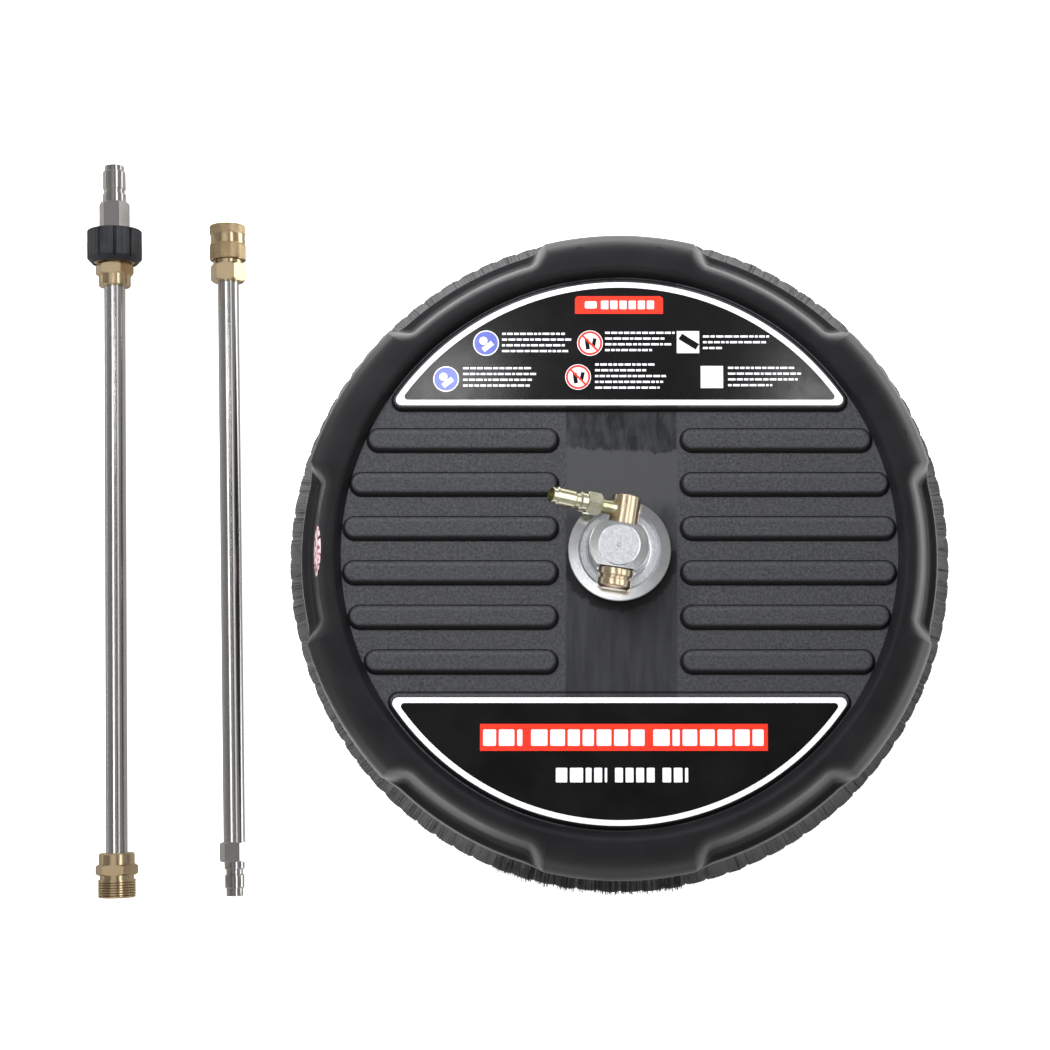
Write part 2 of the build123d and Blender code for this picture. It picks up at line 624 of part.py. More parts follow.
def wand_b_plug():
    plug = turned(
        (0, 0), (4.6, 0), (4.95, 0.4), (4.95, 4.6), (5.7, 5.2), (5.7, 12.3), (4.9, 12.9), (4.9, 15.5),
        (5.7, 16.1), (5.9, 16.3), (5.9, 20.1), (0, 20.1))
    plug += hexagon(15.2, 20.1, 31.8, 1.0)
    plug -= drum(TUBE_RADIUS, 22, 40)
    plug -= drum(2.6, -1, 30)
    plug -= turned((0, -1), (3.9, -1), (3.9, 3), (2.6, 7), (0, 7))
    return plug


def socket_body():
    """Brass quick-connect socket: hexagon on the tube, and a bored barrel under the sleeve."""
    body = hexagon(18.4, 370.2, 381.2, 1.3)
    body += turned((0, 381.2), (8.9, 381.2), (8.9, 383.8), (8.6, 384.0), (8.6, 401.95), (8.0, 401.95),
                   (8.0, 403.1), (8.6, 403.1), (8.6, 404.6), (8.2, 405.0), (0, 405.0))
    body -= drum(TUBE_RADIUS, 360, 379)
    body -= drum(4.0, 360, 400)
    body -= drum(6.0, 384.5, 410)
    body -= ring(7.6, 5, 387.2, 389.8)
    hole = Pos(7.5, 0, 397.6) * Rot(0, 90, 0) * Cylinder(1.36, 5)
    for cutter in around(hole, 6):
        body -= cutter
    return body


def socket_o_ring():
    return turned((6.05, 388.0), (6.8, 387.3), (7.6, 388.0), (7.6, 389.0), (6.8, 389.7), (6.05, 389.0))


def lock_balls():
    ball = Pos(7.33, 0, 397.6) * Sphere(1.26)
    return group(around(ball, 6))


def sleeve_spring():
    """Four and a half turns of round wire between the seat ring and the sleeve's step."""
    wire_radius = 0.45
    coil_radius = 9.35
    pitch = 1.75
    path = Helix(pitch, 4.5 * pitch, coil_radius)
    start = Plane(origin=path @ 0, z_dir=path % 0)
    coil = sweep(start * Circle(wire_radius), path=path, is_frenet=True)
    return Pos(0, 0, 386.0) * coil


def spring_seat():
    return ring(9.9, 8.6, 384.4, 385.3)


def sleeve_stop_ring():
    clip = ring(9.3, 8.0, 402.0, 403.0)
    return clip - Pos(9, 0, 402.5) * Box(4, 2, 3)


def socket_sleeve():
    """Sleeve with a knurled band at each end and a turned waist between them."""
    return turned(
        (10.05, 383.6), (10.6, 383.6), (11.2, 384.3), (11.2, 392.6), (10.6, 393.3), (10.4, 399.2),
        (11.1, 399.8), (11.1, 404.4), (10.4, 405.1), (9.5, 405.1), (9.5, 401.85), (8.65, 401.85),
        (8.65, 394.7), (10.05, 394.7))


# ---------------------------------------------------------------- write every piece

def main():
    os.makedirs("parts", exist_ok=True)
    save(deck_housing(), "deck_housing")
    save(label_sheet(), "rear_label")
    save(label_sheet().rotate(Axis.Z, 180), "front_label")
    save(oval_sticker(), "oval_sticker")
    save(brush_carrier_ring(), "brush_carrier_ring")
    save(bristle_skirt(), "bristle_skirt")
    save(skirt_screws(), "skirt_screws")
    save(swivel_body(), "swivel_body")
    save(swivel_gasket(), "swivel_gasket")
    save(clamp_washer(), "clamp_washer")
    save(clamp_nut(), "clamp_nut")
    for name, bottom in (("upper", UPPER_BEARING_BOTTOM), ("lower", LOWER_BEARING_BOTTOM)):
        save(ball_race(bottom, "outer"), f"{name}_bearing_outer_ring")
        save(ball_race(bottom, "inner"), f"{name}_bearing_inner_ring")
        save(ball_set(bottom), f"{name}_bearing_balls")
    save(bearing_circlip(), "bearing_circlip")
    save(shaft_seal(), "shaft_seal")
    save(spindle(), "spindle")
    save(spindle_circlip(), "spindle_circlip")
    save(spray_hub(), "spray_hub")
    save(hub_nut(), "hub_nut")
    save(spray_arm(1), "right_spray_arm")
    save(spray_arm(-1), "left_spray_arm")
    save(arm_locknuts(), "arm_locknuts")
    save(nozzle_holders(), "nozzle_holders")
    save(spray_tips(), "spray_tips")
    save(pivot_elbow(), "pivot_elbow")
    save(pivot_o_rings(), "pivot_o_rings")
    save(pivot_collar(), "pivot_collar")
    save(pivot_nut(), "pivot_nut")
    save(inlet_plug(), "inlet_plug")
    for maker in (wand_a_tube, wand_a_thread_fitting, wand_a_upper_fitting, wand_a_plug, wand_a_o_ring,
                  hand_nut, hand_nut_insert):
        save(WAND_A * maker(), maker.__name__)
    for maker in (wand_b_tube, wand_b_plug, socket_body, socket_o_ring, lock_balls, sleeve_spring,
                  spring_seat, sleeve_stop_ring, socket_sleeve):
        save(WAND_B * maker(), maker.__name__)


main()
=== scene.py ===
import json
import math
import random

import bmesh
import bpy
from mathutils import Matrix, Vector, geometry

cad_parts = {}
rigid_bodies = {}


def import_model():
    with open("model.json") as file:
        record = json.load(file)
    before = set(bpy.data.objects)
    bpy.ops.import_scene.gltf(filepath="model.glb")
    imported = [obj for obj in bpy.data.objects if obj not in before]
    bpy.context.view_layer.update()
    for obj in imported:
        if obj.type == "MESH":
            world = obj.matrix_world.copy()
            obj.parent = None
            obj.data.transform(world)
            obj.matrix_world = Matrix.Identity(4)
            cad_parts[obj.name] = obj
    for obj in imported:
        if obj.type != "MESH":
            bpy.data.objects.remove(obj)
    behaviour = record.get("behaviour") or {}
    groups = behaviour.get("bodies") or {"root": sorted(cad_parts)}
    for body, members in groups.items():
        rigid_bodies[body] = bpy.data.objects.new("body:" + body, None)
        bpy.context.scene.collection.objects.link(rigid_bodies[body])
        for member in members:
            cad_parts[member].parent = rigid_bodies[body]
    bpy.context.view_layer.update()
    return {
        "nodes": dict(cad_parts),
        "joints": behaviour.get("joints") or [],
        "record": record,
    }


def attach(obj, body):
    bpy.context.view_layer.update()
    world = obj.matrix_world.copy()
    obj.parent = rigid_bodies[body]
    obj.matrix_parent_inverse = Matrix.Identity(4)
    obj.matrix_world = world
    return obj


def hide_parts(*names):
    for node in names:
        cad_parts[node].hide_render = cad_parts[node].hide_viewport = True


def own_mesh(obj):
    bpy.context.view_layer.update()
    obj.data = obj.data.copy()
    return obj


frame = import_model()
NODES = frame["nodes"]
RECORD = frame["record"]
SCENE = bpy.context.scene

# Shapes are worked out in millimetres in the frame's own axes and stored in metres.
MM = 0.001

# ---------------------------------------------------------------- driving dimensions

PLATE_TOP = 48.0
PLATE_RADIUS = 163.0
WALL = 3.0
LIP_BOTTOM = 18.0
RECESS_HALF_ANGLE = 14.5
RECESS_BLEND = 4.0
SWIVEL_HOLE = 17.2
BOSS_CIRCLE = 177.6
BOSS_OFFSET_ANGLE = 7.5
BOSS_RADIUS = 4.5
CARRIER_TOP = 23.0

RAISE = 3.0
RIB_PITCH = 26.04
RIB_HALF_WIDTH = 7.0
RIB_INNER_X = 35.6
RIB_OUTER_X = (162.0, 158.3, 148.5)
PAD_RADIUS = 161.8
PAD_EDGE_Y = 82.6
PAD_CORNER = 6.0
STRIP_LEFT_X = -31.3
STRIP_RIGHT_X = 33.6

LABEL_RADIUS = 159.5
LABEL_EDGE_Y = 85.6
LABEL_CORNER = 3.5
LABEL_TOP = PLATE_TOP + RAISE + 0.3
PRINT_LIFT = 0.04
LAYER_LIFT = 0.012
STROKE = 3.3
SMEAR_EDGE_Y = 70.0

TUFTS = 96
STRANDS = 46
SKIRT_ROOT_HEIGHT = 19.5
SKIRT_ROOT = (181.9, 185.0)
SKIRT_TIP = (192.3, 200.4)
FRAYED_SECTOR = (249, 283)

NUT_RADIUS = 16.6
NUT_LOBES = 10
NUT_PHASE = math.radians(13)
NUT_GROOVE_DEPTH = 1.7
NUT_GROOVE_HALF_WIDTH = 1.15
NUT_LOBE_CROWN = 0.35
SLEEVE_RADIUS = 11.15
SLEEVE_BORE = 8.65
KNURLS = 60
KNURL_DEPTH = 0.38
KNURL_LEAN = 1.6 / 16.6  # radians that a ridge runs round in each millimetre of length
SPRING_TURNS = 4.5
SPRING_WIRE = 0.45
SPRING_RADIUS = 9.35

# The camera and the lights are placed in metres.
CAMERA_LENS = 76.2
CAMERA_SHIFT_X = -0.09
CAMERA_TILT = math.radians(6.7)
CAMERA_DISTANCE = 1.350
CAMERA_AIM_Y = 0.0208
FLOOR_REACH = 6.0
CARD_LIFT = 0.0005

# ---------------------------------------------------------------- mesh helpers


def add_piece(name, verts, faces, materials, body, face_materials=None, replaced=(), sharp=32.0):
    """A smooth-shaded mesh piece from vertices in millimetres, riding on a body."""
    mesh = bpy.data.meshes.new(name)
    mesh.from_pydata([tuple(c * MM for c in v) for v in verts], [], faces)
    for entry in materials:
        mesh.materials.append(entry)
    if face_materials is not None:
        mesh.polygons.foreach_set("material_index", face_materials)
    piece = bpy.data.objects.new(name, mesh)
    SCENE.collection.objects.link(piece)
    tidy_mesh(mesh, sharp)
    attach(piece, body)
    if replaced:
        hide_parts(*replaced)
    return piece


def tidy_mesh(mesh, sharp):
    """Join doubled vertices, point the faces outward, and shade smooth up to an angle."""
    work = bmesh.new()
    work.from_mesh(mesh)
    bmesh.ops.remove_doubles(work, verts=work.verts, dist=2e-6)
    bmesh.ops.recalc_face_normals(work, faces=work.faces)
    work.to_mesh(mesh)
    work.free()
    mesh.shade_smooth()
    mesh.set_sharp_from_angle(angle=math.radians(sharp))


def weight_normals(piece):
    """Keep flat faces flat beside their fillets."""
    weighted = piece.modifiers.new("face_weighted_normals", "WEIGHTED_NORMAL")
    weighted.keep_sharp = True


def rounded(points, radii, step=0.45):
    """2D polyline through points whose inner corners are arcs of these radii."""
    path = [Vector(points[0])]
    for before, corner, after, radius in zip(points, points[1:], points[2:], radii):
        corner = Vector(corner)
        back = (Vector(before) - corner).normalized()
        onward = (Vector(after) - corner).normalized()
        half = back.angle(onward) / 2
        centre = corner + (back + onward).normalized() * (radius / math.sin(half))
        first = corner + back * (radius / math.tan(half)) - centre
        last = corner + onward * (radius / math.tan(half)) - centre
        start = math.atan2(first.y, first.x)
        turn = (math.atan2(last.y, last.x) - start + math.pi) % (2 * math.pi) - math.pi
        count = max(3, int(abs(turn) * radius / step) + 2)
        for k in range(count + 1):
            angle = start + turn * k / count
            path.append(centre + Vector((math.cos(angle), math.sin(angle))) * radius)
    path.append(Vector(points[-1]))
    return path


def resampled(path, count):
    """The same polyline with count + 1 evenly spaced points."""
    lengths = [0.0]
    for a, b in zip(path, path[1:]):
        lengths.append(lengths[-1] + (b - a).length)
    points = []
    k = 0
    for i in range(count + 1):
        want = lengths[-1] * i / count
        while k < len(path) - 2 and lengths[k + 1] < want:
            k += 1
        span = lengths[k + 1] - lengths[k]
        share = 0.0 if span < 1e-9 else (want - lengths[k]) / span
        points.append(path[k].lerp(path[k + 1], min(share, 1.0)))
    return points


def smoothstep(x):
    x = min(max(x, 0.0), 1.0)
    return x * x * (3 - 2 * x)


def bridge(first, second, count, closed=True):
    """Quads between two runs of count vertices that start at these indices."""
    last = count if closed else count - 1
    return [(first + k, first + (k + 1) % count, second + (k + 1) % count, second + k) for k in range(last)]


# ---------------------------------------------------------------- outlines on the plate


def stadium(inner_x, outer_x, y, radius, steps=14):
    """Outline of a slot shape whose half circles have this radius."""
    low, high = sorted((inner_x, outer_x))
    points = []
    for centre, start in ((high - RIB_HALF_WIDTH, -90), (low + RIB_HALF_WIDTH, 90)):
        for k in range(steps + 1):
            angle = math.radians(start + 180 * k / steps)
            points.append((centre + radius * math.cos(angle), y + radius * math.sin(angle)))
    return points


def segment_outline(radius, edge_y, corner, side=1, arc_steps=96, corner_steps=8):
    """Circular segment beyond the chord y = edge_y, with rounded corners."""
    centre_y = edge_y + corner
    centre_x = math.sqrt((radius - corner) ** 2 - centre_y ** 2)
    reach = math.atan2(centre_y, centre_x)
    points = []
    for k in range(corner_steps + 1):
        angle = -math.pi / 2 + (reach + math.pi / 2) * k / corner_steps
        points.append((centre_x + corner * math.cos(angle), centre_y + corner * math.sin(angle)))
    for k in range(1, arc_steps):
        angle = reach + (math.pi - 2 * reach) * k / arc_steps
        points.append((radius * math.cos(angle), radius * math.sin(angle)))
    for k in range(corner_steps + 1):
        angle = math.pi - reach + (reach + math.pi / 2) * k / corner_steps
        points.append((-centre_x + corner * math.cos(angle), centre_y + corner * math.sin(angle)))
    return [(side * x, side * y) for x, y in points]


def inside(point, outline):
    """Is a point inside a closed outline?"""
    x, y = point
    hit = False
    for (x0, y0), (x1, y1) in zip(outline, outline[1:] + outline[:1]):
        if (y0 > y) != (y1 > y) and x < x0 + (y - y0) * (x1 - x0) / (y1 - y0):
            hit = not hit
    return hit


def flat_with_holes(outer, holes):
    """Triangles that fill an outline around its holes, as (points, faces)."""
    points = []
    edges = []
    for outline in [outer] + holes:
        base = len(points)
        points.extend(Vector(p) for p in outline)
        edges.extend((base + k, base + (k + 1) % len(outline)) for k in range(len(outline)))
    made = geometry.delaunay_2d_cdt(points, edges, [], 0, 1e-7)
    filled = []
    for face in made[2]:
        middle = sum((made[0][k] for k in face), Vector((0, 0))) / len(face)
        if inside(middle, outer) and not any(inside(middle, hole) for hole in holes):
            filled.append(tuple(face))
    return [tuple(p) for p in made[0]], filled


# ---------------------------------------------------------------- materials


def math_node(tree, operation, *sources):
    """A Math node whose inputs are numbers or other nodes' sockets."""
    node = tree.nodes.new("ShaderNodeMath")
    node.operation = operation
    for k, source in enumerate(sources):
        if isinstance(source, (int, float)):
            node.inputs[k].default_value = source
        else:
            tree.links.new(source, node.inputs[k])
    return node.outputs[0]


class Finish:
    """One Principled material and the few node chains that it is built from."""

    def __init__(self, name, color, roughness, metallic=0.0, **sockets):
        self.material = bpy.data.materials.new(name)
        self.material.use_nodes = True
        self.tree = self.material.node_tree
        self.shader = self.tree.nodes["Principled BSDF"]
        self.shader.inputs["Base Color"].default_value = (*color, 1.0)
        self.shader.inputs["Roughness"].default_value = roughness
        self.shader.inputs["Metallic"].default_value = metallic
        for socket, value in sockets.items():
            self.shader.inputs[socket.replace("_", " ")].default_value = value
        self.coords = self.tree.nodes.new("ShaderNodeTexCoord").outputs["Object"]
        self.bumped = None

    def link(self, source, target):
        self.tree.links.new(source, target)

    def math(self, operation, *sources):
        return math_node(self.tree, operation, *sources)

    def product(self, a, b):
        return self.math("MULTIPLY", a, b)

    def scaled(self, sx, sy, sz):
        node = self.tree.nodes.new("ShaderNodeMapping")
        node.inputs["Scale"].default_value = (sx, sy, sz)
        self.link(self.coords, node.inputs["Vector"])
        return node.outputs[0]

    def noise(self, scale, detail=4.0, rough=0.55, vector=None):
        node = self.tree.nodes.new("ShaderNodeTexNoise")
        node.inputs["Scale"].default_value = scale
        node.inputs["Detail"].default_value = detail
        node.inputs["Roughness"].default_value = rough
        self.link(vector if vector is not None else self.coords, node.inputs["Vector"])
        return node.outputs["Fac"]

    def xyz(self, vector=None):
        node = self.tree.nodes.new("ShaderNodeSeparateXYZ")
        self.link(vector if vector is not None else self.coords, node.inputs[0])
        return node.outputs

    def radius(self):
        """Distance from the deck's axis."""
        x, y, _ = self.xyz()
        return self.math("SQRT", self.math("ADD", self.product(x, x), self.product(y, y)))

    def fit(self, source, low, high, to_low=0.0, to_high=1.0):
        """Map a range onto another, clamped."""
        node = self.tree.nodes.new("ShaderNodeMapRange")
        for name, number in (("From Min", low), ("From Max", high), ("To Min", to_low), ("To Max", to_high)):
            node.inputs[name].default_value = number
        self.link(source, node.inputs["Value"])
        return node.outputs[0]

    def ramp(self, source, *stops):
        """Colours by position: (position, (r, g, b)), ..."""
        node = self.tree.nodes.new("ShaderNodeValToRGB")
        ramp = node.color_ramp
        for k, (position, color) in enumerate(stops):
            stop = ramp.elements[k] if k < 2 else ramp.elements.new(position)
            stop.position = position
            stop.color = (*color, 1.0)
        self.link(source, node.inputs["Fac"])
        return node.outputs["Color"]

    def mix(self, share, a, b):
        """Colour a where share is 0 and b where it is 1."""
        node = self.tree.nodes.new("ShaderNodeMix")
        node.data_type = "RGBA"
        self.link(share, node.inputs["Factor"])
        for name, source in (("A", a), ("B", b)):
            socket = next(s for s in node.inputs if s.name == name and s.type == "RGBA")
            if isinstance(source, tuple):
                socket.default_value = (*source, 1.0)
            else:
                self.link(source, socket)
        return next(s for s in node.outputs if s.type == "RGBA")

    def color(self, source):
        self.link(source, self.shader.inputs["Base Color"])
        return self

    def rough(self, source, low, high, from_low=0.3, from_high=0.7):
        self.link(self.fit(source, from_low, from_high, low, high), self.shader.inputs["Roughness"])
        return self

    def bump(self, height, depth_mm, strength=1.0):
        """Add relief of this depth on top of any relief that is already there."""
        node = self.tree.nodes.new("ShaderNodeBump")
        node.inputs["Strength"].default_value = strength
        node.inputs["Distance"].default_value = depth_mm * MM
        self.link(height, node.inputs["Height"])
        if self.bumped is not None:
            self.link(self.bumped, node.inputs["Normal"])
        self.bumped = node.outputs["Normal"]
        self.link(self.bumped, self.shader.inputs["Normal"])
        return self


def two_tone(finish, source, dark, light, low=0.35, high=0.65):
    return finish.color(finish.ramp(source, (low, dark), (high, light)))


def deck_plate_finish():
    """Fine moulded texture with a smooth scuffed strip along the middle, and painted shade: faces that turn away from
    up and back go near black.
    """
    f = Finish("deck_plate", (0.04, 0.04, 0.042), 0.55)
    x, y, _ = f.xyz()
    grain = f.noise(1500, 3, 0.6)
    cloud = f.noise(22, 5, 0.6)
    edge = 0.6 * MM
    left = f.fit(x, STRIP_LEFT_X * MM - edge, STRIP_LEFT_X * MM + edge)
    right = f.fit(x, STRIP_RIGHT_X * MM + edge, STRIP_RIGHT_X * MM - edge)
    strip = f.product(left, right)
    speck = f.ramp(f.noise(650, 3, 0.7), (0.35, (0.026, 0.027, 0.030)), (0.70, (0.068, 0.069, 0.076)))
    plain = f.mix(f.fit(cloud, 0.3, 0.7, 0.0, 0.35), speck, (0.050, 0.051, 0.056))
    streaks = f.noise(70, 5, 0.6, f.scaled(3.0, 0.35, 1))
    scuffed = f.ramp(streaks, (0.3, (0.020, 0.0205, 0.023)), (0.7, (0.036, 0.037, 0.041)))
    ragged = f.math("ADD", y, f.product(f.noise(60, 7, 0.75, f.scaled(1.0, 0.6, 1)), 22 * MM))
    worn = f.fit(ragged, SMEAR_EDGE_Y * MM, (SMEAR_EDGE_Y + 1.6) * MM)
    polished = f.product(f.fit(ragged, 30 * MM, 42 * MM), f.math("SUBTRACT", 1.0, worn))
    scuffed = f.mix(f.product(polished, 0.8), scuffed, (0.058, 0.059, 0.064))
    patches = f.ramp(f.noise(150, 7, 0.75, f.scaled(1.0, 0.35, 1)), (0.40, (0.010, 0.0105, 0.012)),
                     (0.62, (0.036, 0.037, 0.041)))
    scuffed = f.mix(f.product(worn, 0.85), scuffed, patches)
    near_flange = f.product(f.fit(f.radius(), 40 * MM, 28 * MM), f.math("LESS_THAN", y, 0.0))
    smudge = f.fit(f.math("ADD", near_flange, f.noise(230, 6, 0.75)), 0.86, 0.98)
    scuffed = f.mix(f.product(smudge, 0.85), scuffed, (0.007, 0.007, 0.008))
    # Painted shade: slopes that turn away from up and back, where the key light stands, are darkened to near black.
    _, back, up = f.xyz(f.tree.nodes["Texture Coordinate"].outputs["Normal"])
    toward_key_light = f.math("ADD", f.product(back, 0.38), f.product(up, 0.92))
    side = f.fit(toward_key_light, 0.92, 0.62)
    f.color(f.mix(side, f.mix(strip, plain, scuffed), (0.006, 0.006, 0.0065)))
    f.rough(cloud, 0.50, 0.60)
    f.bump(f.product(grain, f.fit(strip, 0, 1, 1.0, 0.15)), 0.16, 0.9)
    return f.material


def deck_rim_finish():
    """Smooth satin moulding."""
    f = Finish("deck_rim", (0.010, 0.010, 0.011), 0.40)
    cloud = f.noise(35, 5, 0.6)
    two_tone(f, cloud, (0.008, 0.008, 0.0092), (0.012, 0.012, 0.0135))
    f.rough(cloud, 0.44, 0.52)
    f.bump(f.noise(900, 2), 0.02, 0.5)
    return f.material


def deck_inside_finish():
    """The mould's duller inner side."""
    f = Finish("deck_inside", (0.018, 0.018, 0.019), 0.5)
    cloud = f.noise(45, 5, 0.6)
    two_tone(f, cloud, (0.014, 0.014, 0.015), (0.024, 0.024, 0.025))
    f.rough(cloud, 0.42, 0.58)
    f.bump(f.noise(600, 3), 0.05, 0.6)
    return f.material


def bristle_finish():
    """Nylon whose tone changes from bristle to bristle."""
    f = Finish("bristle_nylon", (0.05, 0.05, 0.052), 0.45)
    tone = f.noise(400, 3, 0.6)
    two_tone(f, tone, (0.026, 0.026, 0.028), (0.043, 0.043, 0.046))
    f.rough(tone, 0.38, 0.55)
    return f.material


def ink(name, color, spread=0.08, roughness=0.13):
    """Printed vinyl under a gloss coat, faintly uneven."""
    f = Finish(name, color, roughness)
    cloud = f.noise(30, 4)
    dark = tuple(c * (1 - spread) for c in color)
    light = tuple(min(c * (1 + spread), 1.0) for c in color)
    two_tone(f, cloud, dark, light)
    f.rough(f.noise(70, 5, 0.7), roughness - 0.02, roughness + 0.03)
    f.bump(f.noise(600, 4, 0.6), 0.016, 0.8)
    return f.material


def metal(name, dark, light, low_rough, high_rough, grain=160, relief=0.01, **sockets):
    """Turned or drawn metal: colour and gloss drift a little, with fine tool marks."""
    f = Finish(name, light, low_rough, 1.0, **sockets)
    drift = f.noise(grain, 5, 0.6)
    two_tone(f, drift, dark, light, 0.3, 0.7)
    f.rough(drift, low_rough, high_rough)
    if relief:
        f.bump(f.noise(grain * 9, 3), relief, 0.6)
    return f.material


def simple(name, dark, light, low_rough, high_rough, grain=80, relief=0.03):
    """Rubber or moulded plastic."""
    f = Finish(name, light, low_rough)
    drift = f.noise(grain, 5, 0.6)
    two_tone(f, drift, dark, light)
    f.rough(drift, low_rough, high_rough)
    f.bump(f.noise(grain * 10, 3), relief, 0.6)
    return f.material


def turned_aluminium_finish():
    """Flange and block: rings from turning, a rough-cast recess floor and a dented top disc."""
    f = Finish("turned_aluminium", (0.78, 0.79, 0.81), 0.14, 1.0)
    z = f.xyz()[2]
    radius = f.radius()
    cast = f.product(f.math("LESS_THAN", z, 53.6 * MM), f.math("GREATER_THAN", z, 52.5 * MM))
    disc = f.product(f.math("LESS_THAN", radius, 11.5 * MM), f.math("GREATER_THAN", z, 82.0 * MM))
    coarse = f.math("MAXIMUM", cast, disc)
    speckle = f.noise(900, 6, 0.75)
    bright = f.ramp(f.noise(90, 4), (0.3, (0.74, 0.75, 0.77)), (0.7, (0.86, 0.87, 0.89)))
    rough_cast = f.ramp(speckle, (0.35, (0.56, 0.58, 0.62)), (0.62, (0.84, 0.86, 0.90)))
    f.color(f.mix(coarse, bright, rough_cast))
    f.link(f.fit(coarse, 0, 1, 0.13, 0.55), f.shader.inputs["Roughness"])
    rings = f.math("SINE", f.product(radius, 2 * math.pi / (0.28 * MM)))
    f.bump(f.product(rings, f.fit(coarse, 0, 1, 1, 0.1)), 0.0015, 0.6)
    f.bump(f.product(f.noise(380, 6, 0.75), coarse), 0.12, 0.8)
    return f.material


def brushed_tube_finish():
    """Drawn tube, polished along its length."""
    f = Finish("tube_stainless", (0.56, 0.54, 0.52), 0.2, 1.0)
    streaks = f.noise(900, 4, 0.6, f.scaled(1.0, 0.02, 1.0))
    drift = f.noise(14, 3)
    two_tone(f, drift, (0.61, 0.595, 0.58), (0.67, 0.655, 0.64))
    f.rough(streaks, 0.17, 0.20)
    f.bump(streaks, 0.0006, 0.3)
    return f.material


def sticker_finish():
    """Pale printed film with a few generic red and dark marks."""
    f = Finish("sticker_film", (0.8, 0.68, 0.7), 0.3)
    marks = f.noise(330, 2, 0.4)
    tone = f.ramp(marks, (0.40, (0.05, 0.02, 0.025)), (0.47, (0.45, 0.16, 0.19)), (0.56, (0.62, 0.52, 0.54)))
    f.color(tone)
    f.rough(marks, 0.25, 0.4)
    return f.material


PLASTIC_PLATE = deck_plate_finish()
PLASTIC_RIM = deck_rim_finish()
PLASTIC_INSIDE = deck_inside_finish()
NYLON = bristle_finish()
NYLON_DARK = simple("bristle_shadowed", (0.008, 0.008, 0.008), (0.03, 0.03, 0.03), 0.5, 0.6)
LABEL_BLACK = ink("label_black", (0.0055, 0.0055, 0.006), 0.3)
LABEL_WHITE = ink("label_white", (0.82, 0.81, 0.86), 0.03)
LABEL_RED = ink("label_red", (0.80, 0.040, 0.022), 0.06)
LABEL_BLUE = ink("label_blue", (0.11, 0.14, 0.50), 0.1)
ALUMINIUM = turned_aluminium_finish()
TUBE = brushed_tube_finish()
STAINLESS = metal("turned_stainless", (0.58, 0.56, 0.54), (0.64, 0.62, 0.60), 0.14, 0.20, 50, 0.003)
BRASS = metal("fitting_brass", (0.64, 0.49, 0.29), (0.73, 0.58, 0.37), 0.20, 0.27, 50, 0.004)
PIVOT_BRASS = metal("pivot_brass", (0.66, 0.53, 0.37), (0.75, 0.63, 0.46), 0.22, 0.29, 50, 0.004)
YELLOW_ZINC = metal("yellow_zinc", (0.66, 0.64, 0.41), (0.88, 0.86, 0.68), 0.18, 0.26, 120, 0.006)
ZINC = metal("zinc_steel", (0.50, 0.51, 0.53), (0.68, 0.69, 0.71), 0.22, 0.34)
BEARING = metal("bearing_steel", (0.58, 0.58, 0.60), (0.74, 0.74, 0.76), 0.08, 0.14)
SPINDLE = metal("spindle_steel", (0.50, 0.49, 0.47), (0.66, 0.65, 0.63), 0.18, 0.28)
SPRING = metal("spring_steel", (0.32, 0.32, 0.33), (0.48, 0.48, 0.49), 0.2, 0.32)
RUBBER = simple("seal_rubber", (0.012, 0.012, 0.012), (0.024, 0.024, 0.024), 0.45, 0.6)
CARRIER = simple("carrier_plastic", (0.018, 0.018, 0.019), (0.030, 0.030, 0.032), 0.42, 0.55)
NUT_PLASTIC = simple("nut_plastic", (0.008, 0.0085, 0.010), (0.015, 0.016, 0.019), 0.38, 0.5, 120, 0.05)

SLOT_MATERIALS = {
    "deck_plastic": PLASTIC_RIM, "label_print": LABEL_BLACK, "sticker_film": sticker_finish(),
    "carrier_plastic": CARRIER, "bristle_nylon": NYLON, "zinc_steel": ZINC, "turned_aluminium": ALUMINIUM,
    "seal_rubber": RUBBER, "bearing_steel": BEARING, "spindle_steel": SPINDLE, "turned_stainless": STAINLESS,
    "tube_stainless": TUBE, "pivot_brass": PIVOT_BRASS, "fitting_brass": BRASS, "yellow_zinc": YELLOW_ZINC,
    "nut_plastic": NUT_PLASTIC, "spring_steel": SPRING,
}
for subpart in RECORD["subparts"]:
    node = NODES[subpart["node"]]
    node.data.materials.clear()
    node.data.materials.append(SLOT_MATERIALS[subpart["material_slot"]])


# ---------------------------------------------------------------- deck housing

LOBE_PROFILE = rounded([(168.9, 54.65), (181, 54.4), (191.4, 40), (191.8, LIP_BOTTOM)], [16, 17])
RECESS_PROFILE = rounded(
    [(168.9, 54.65), (172.3, 54.65), (176.5, 50), (183.5, 27.5), (188.9, 26), (190.4, LIP_BOTTOM)],
    [7, 12, 5, 1.2])
RISE_PROFILE = rounded([(PLATE_RADIUS, PLATE_TOP), (167.2, 54.65), (168.9, 54.65)], [3.2])
LOBE_INNER = rounded([(188.8, LIP_BOTTOM), (188.6, 38.5), (179.5, 51.4), (169.5, 51.7), (164.6, 45), (140, 45)],
                     [15, 13, 2.5, 2.5])
RECESS_INNER = rounded([(187.4, LIP_BOTTOM), (186.8, 23), (180.5, 24.5), (173.5, 47), (169.3, 51.7), (168, 51.7),
                        (164.6, 45), (140, 45)], [0.3, 5.5, 8, 1.5, 0.8, 2.5])


def sweep_angles():
    """Angles in degrees, close together where a recess runs out into a lobe."""
    angles = []
    for sector in range(6):
        start = sector * 60 - RECESS_HALF_ANGLE - RECESS_BLEND / 2
        blend = RECESS_BLEND
        flat = 2 * RECESS_HALF_ANGLE - blend
        lobe = 60 - 2 * RECESS_HALF_ANGLE - blend
        for length, steps in ((blend, 16), (flat, 20), (blend, 16), (lobe, 18)):
            angles.extend(start + length * k / steps for k in range(steps))
            start += length
    return angles


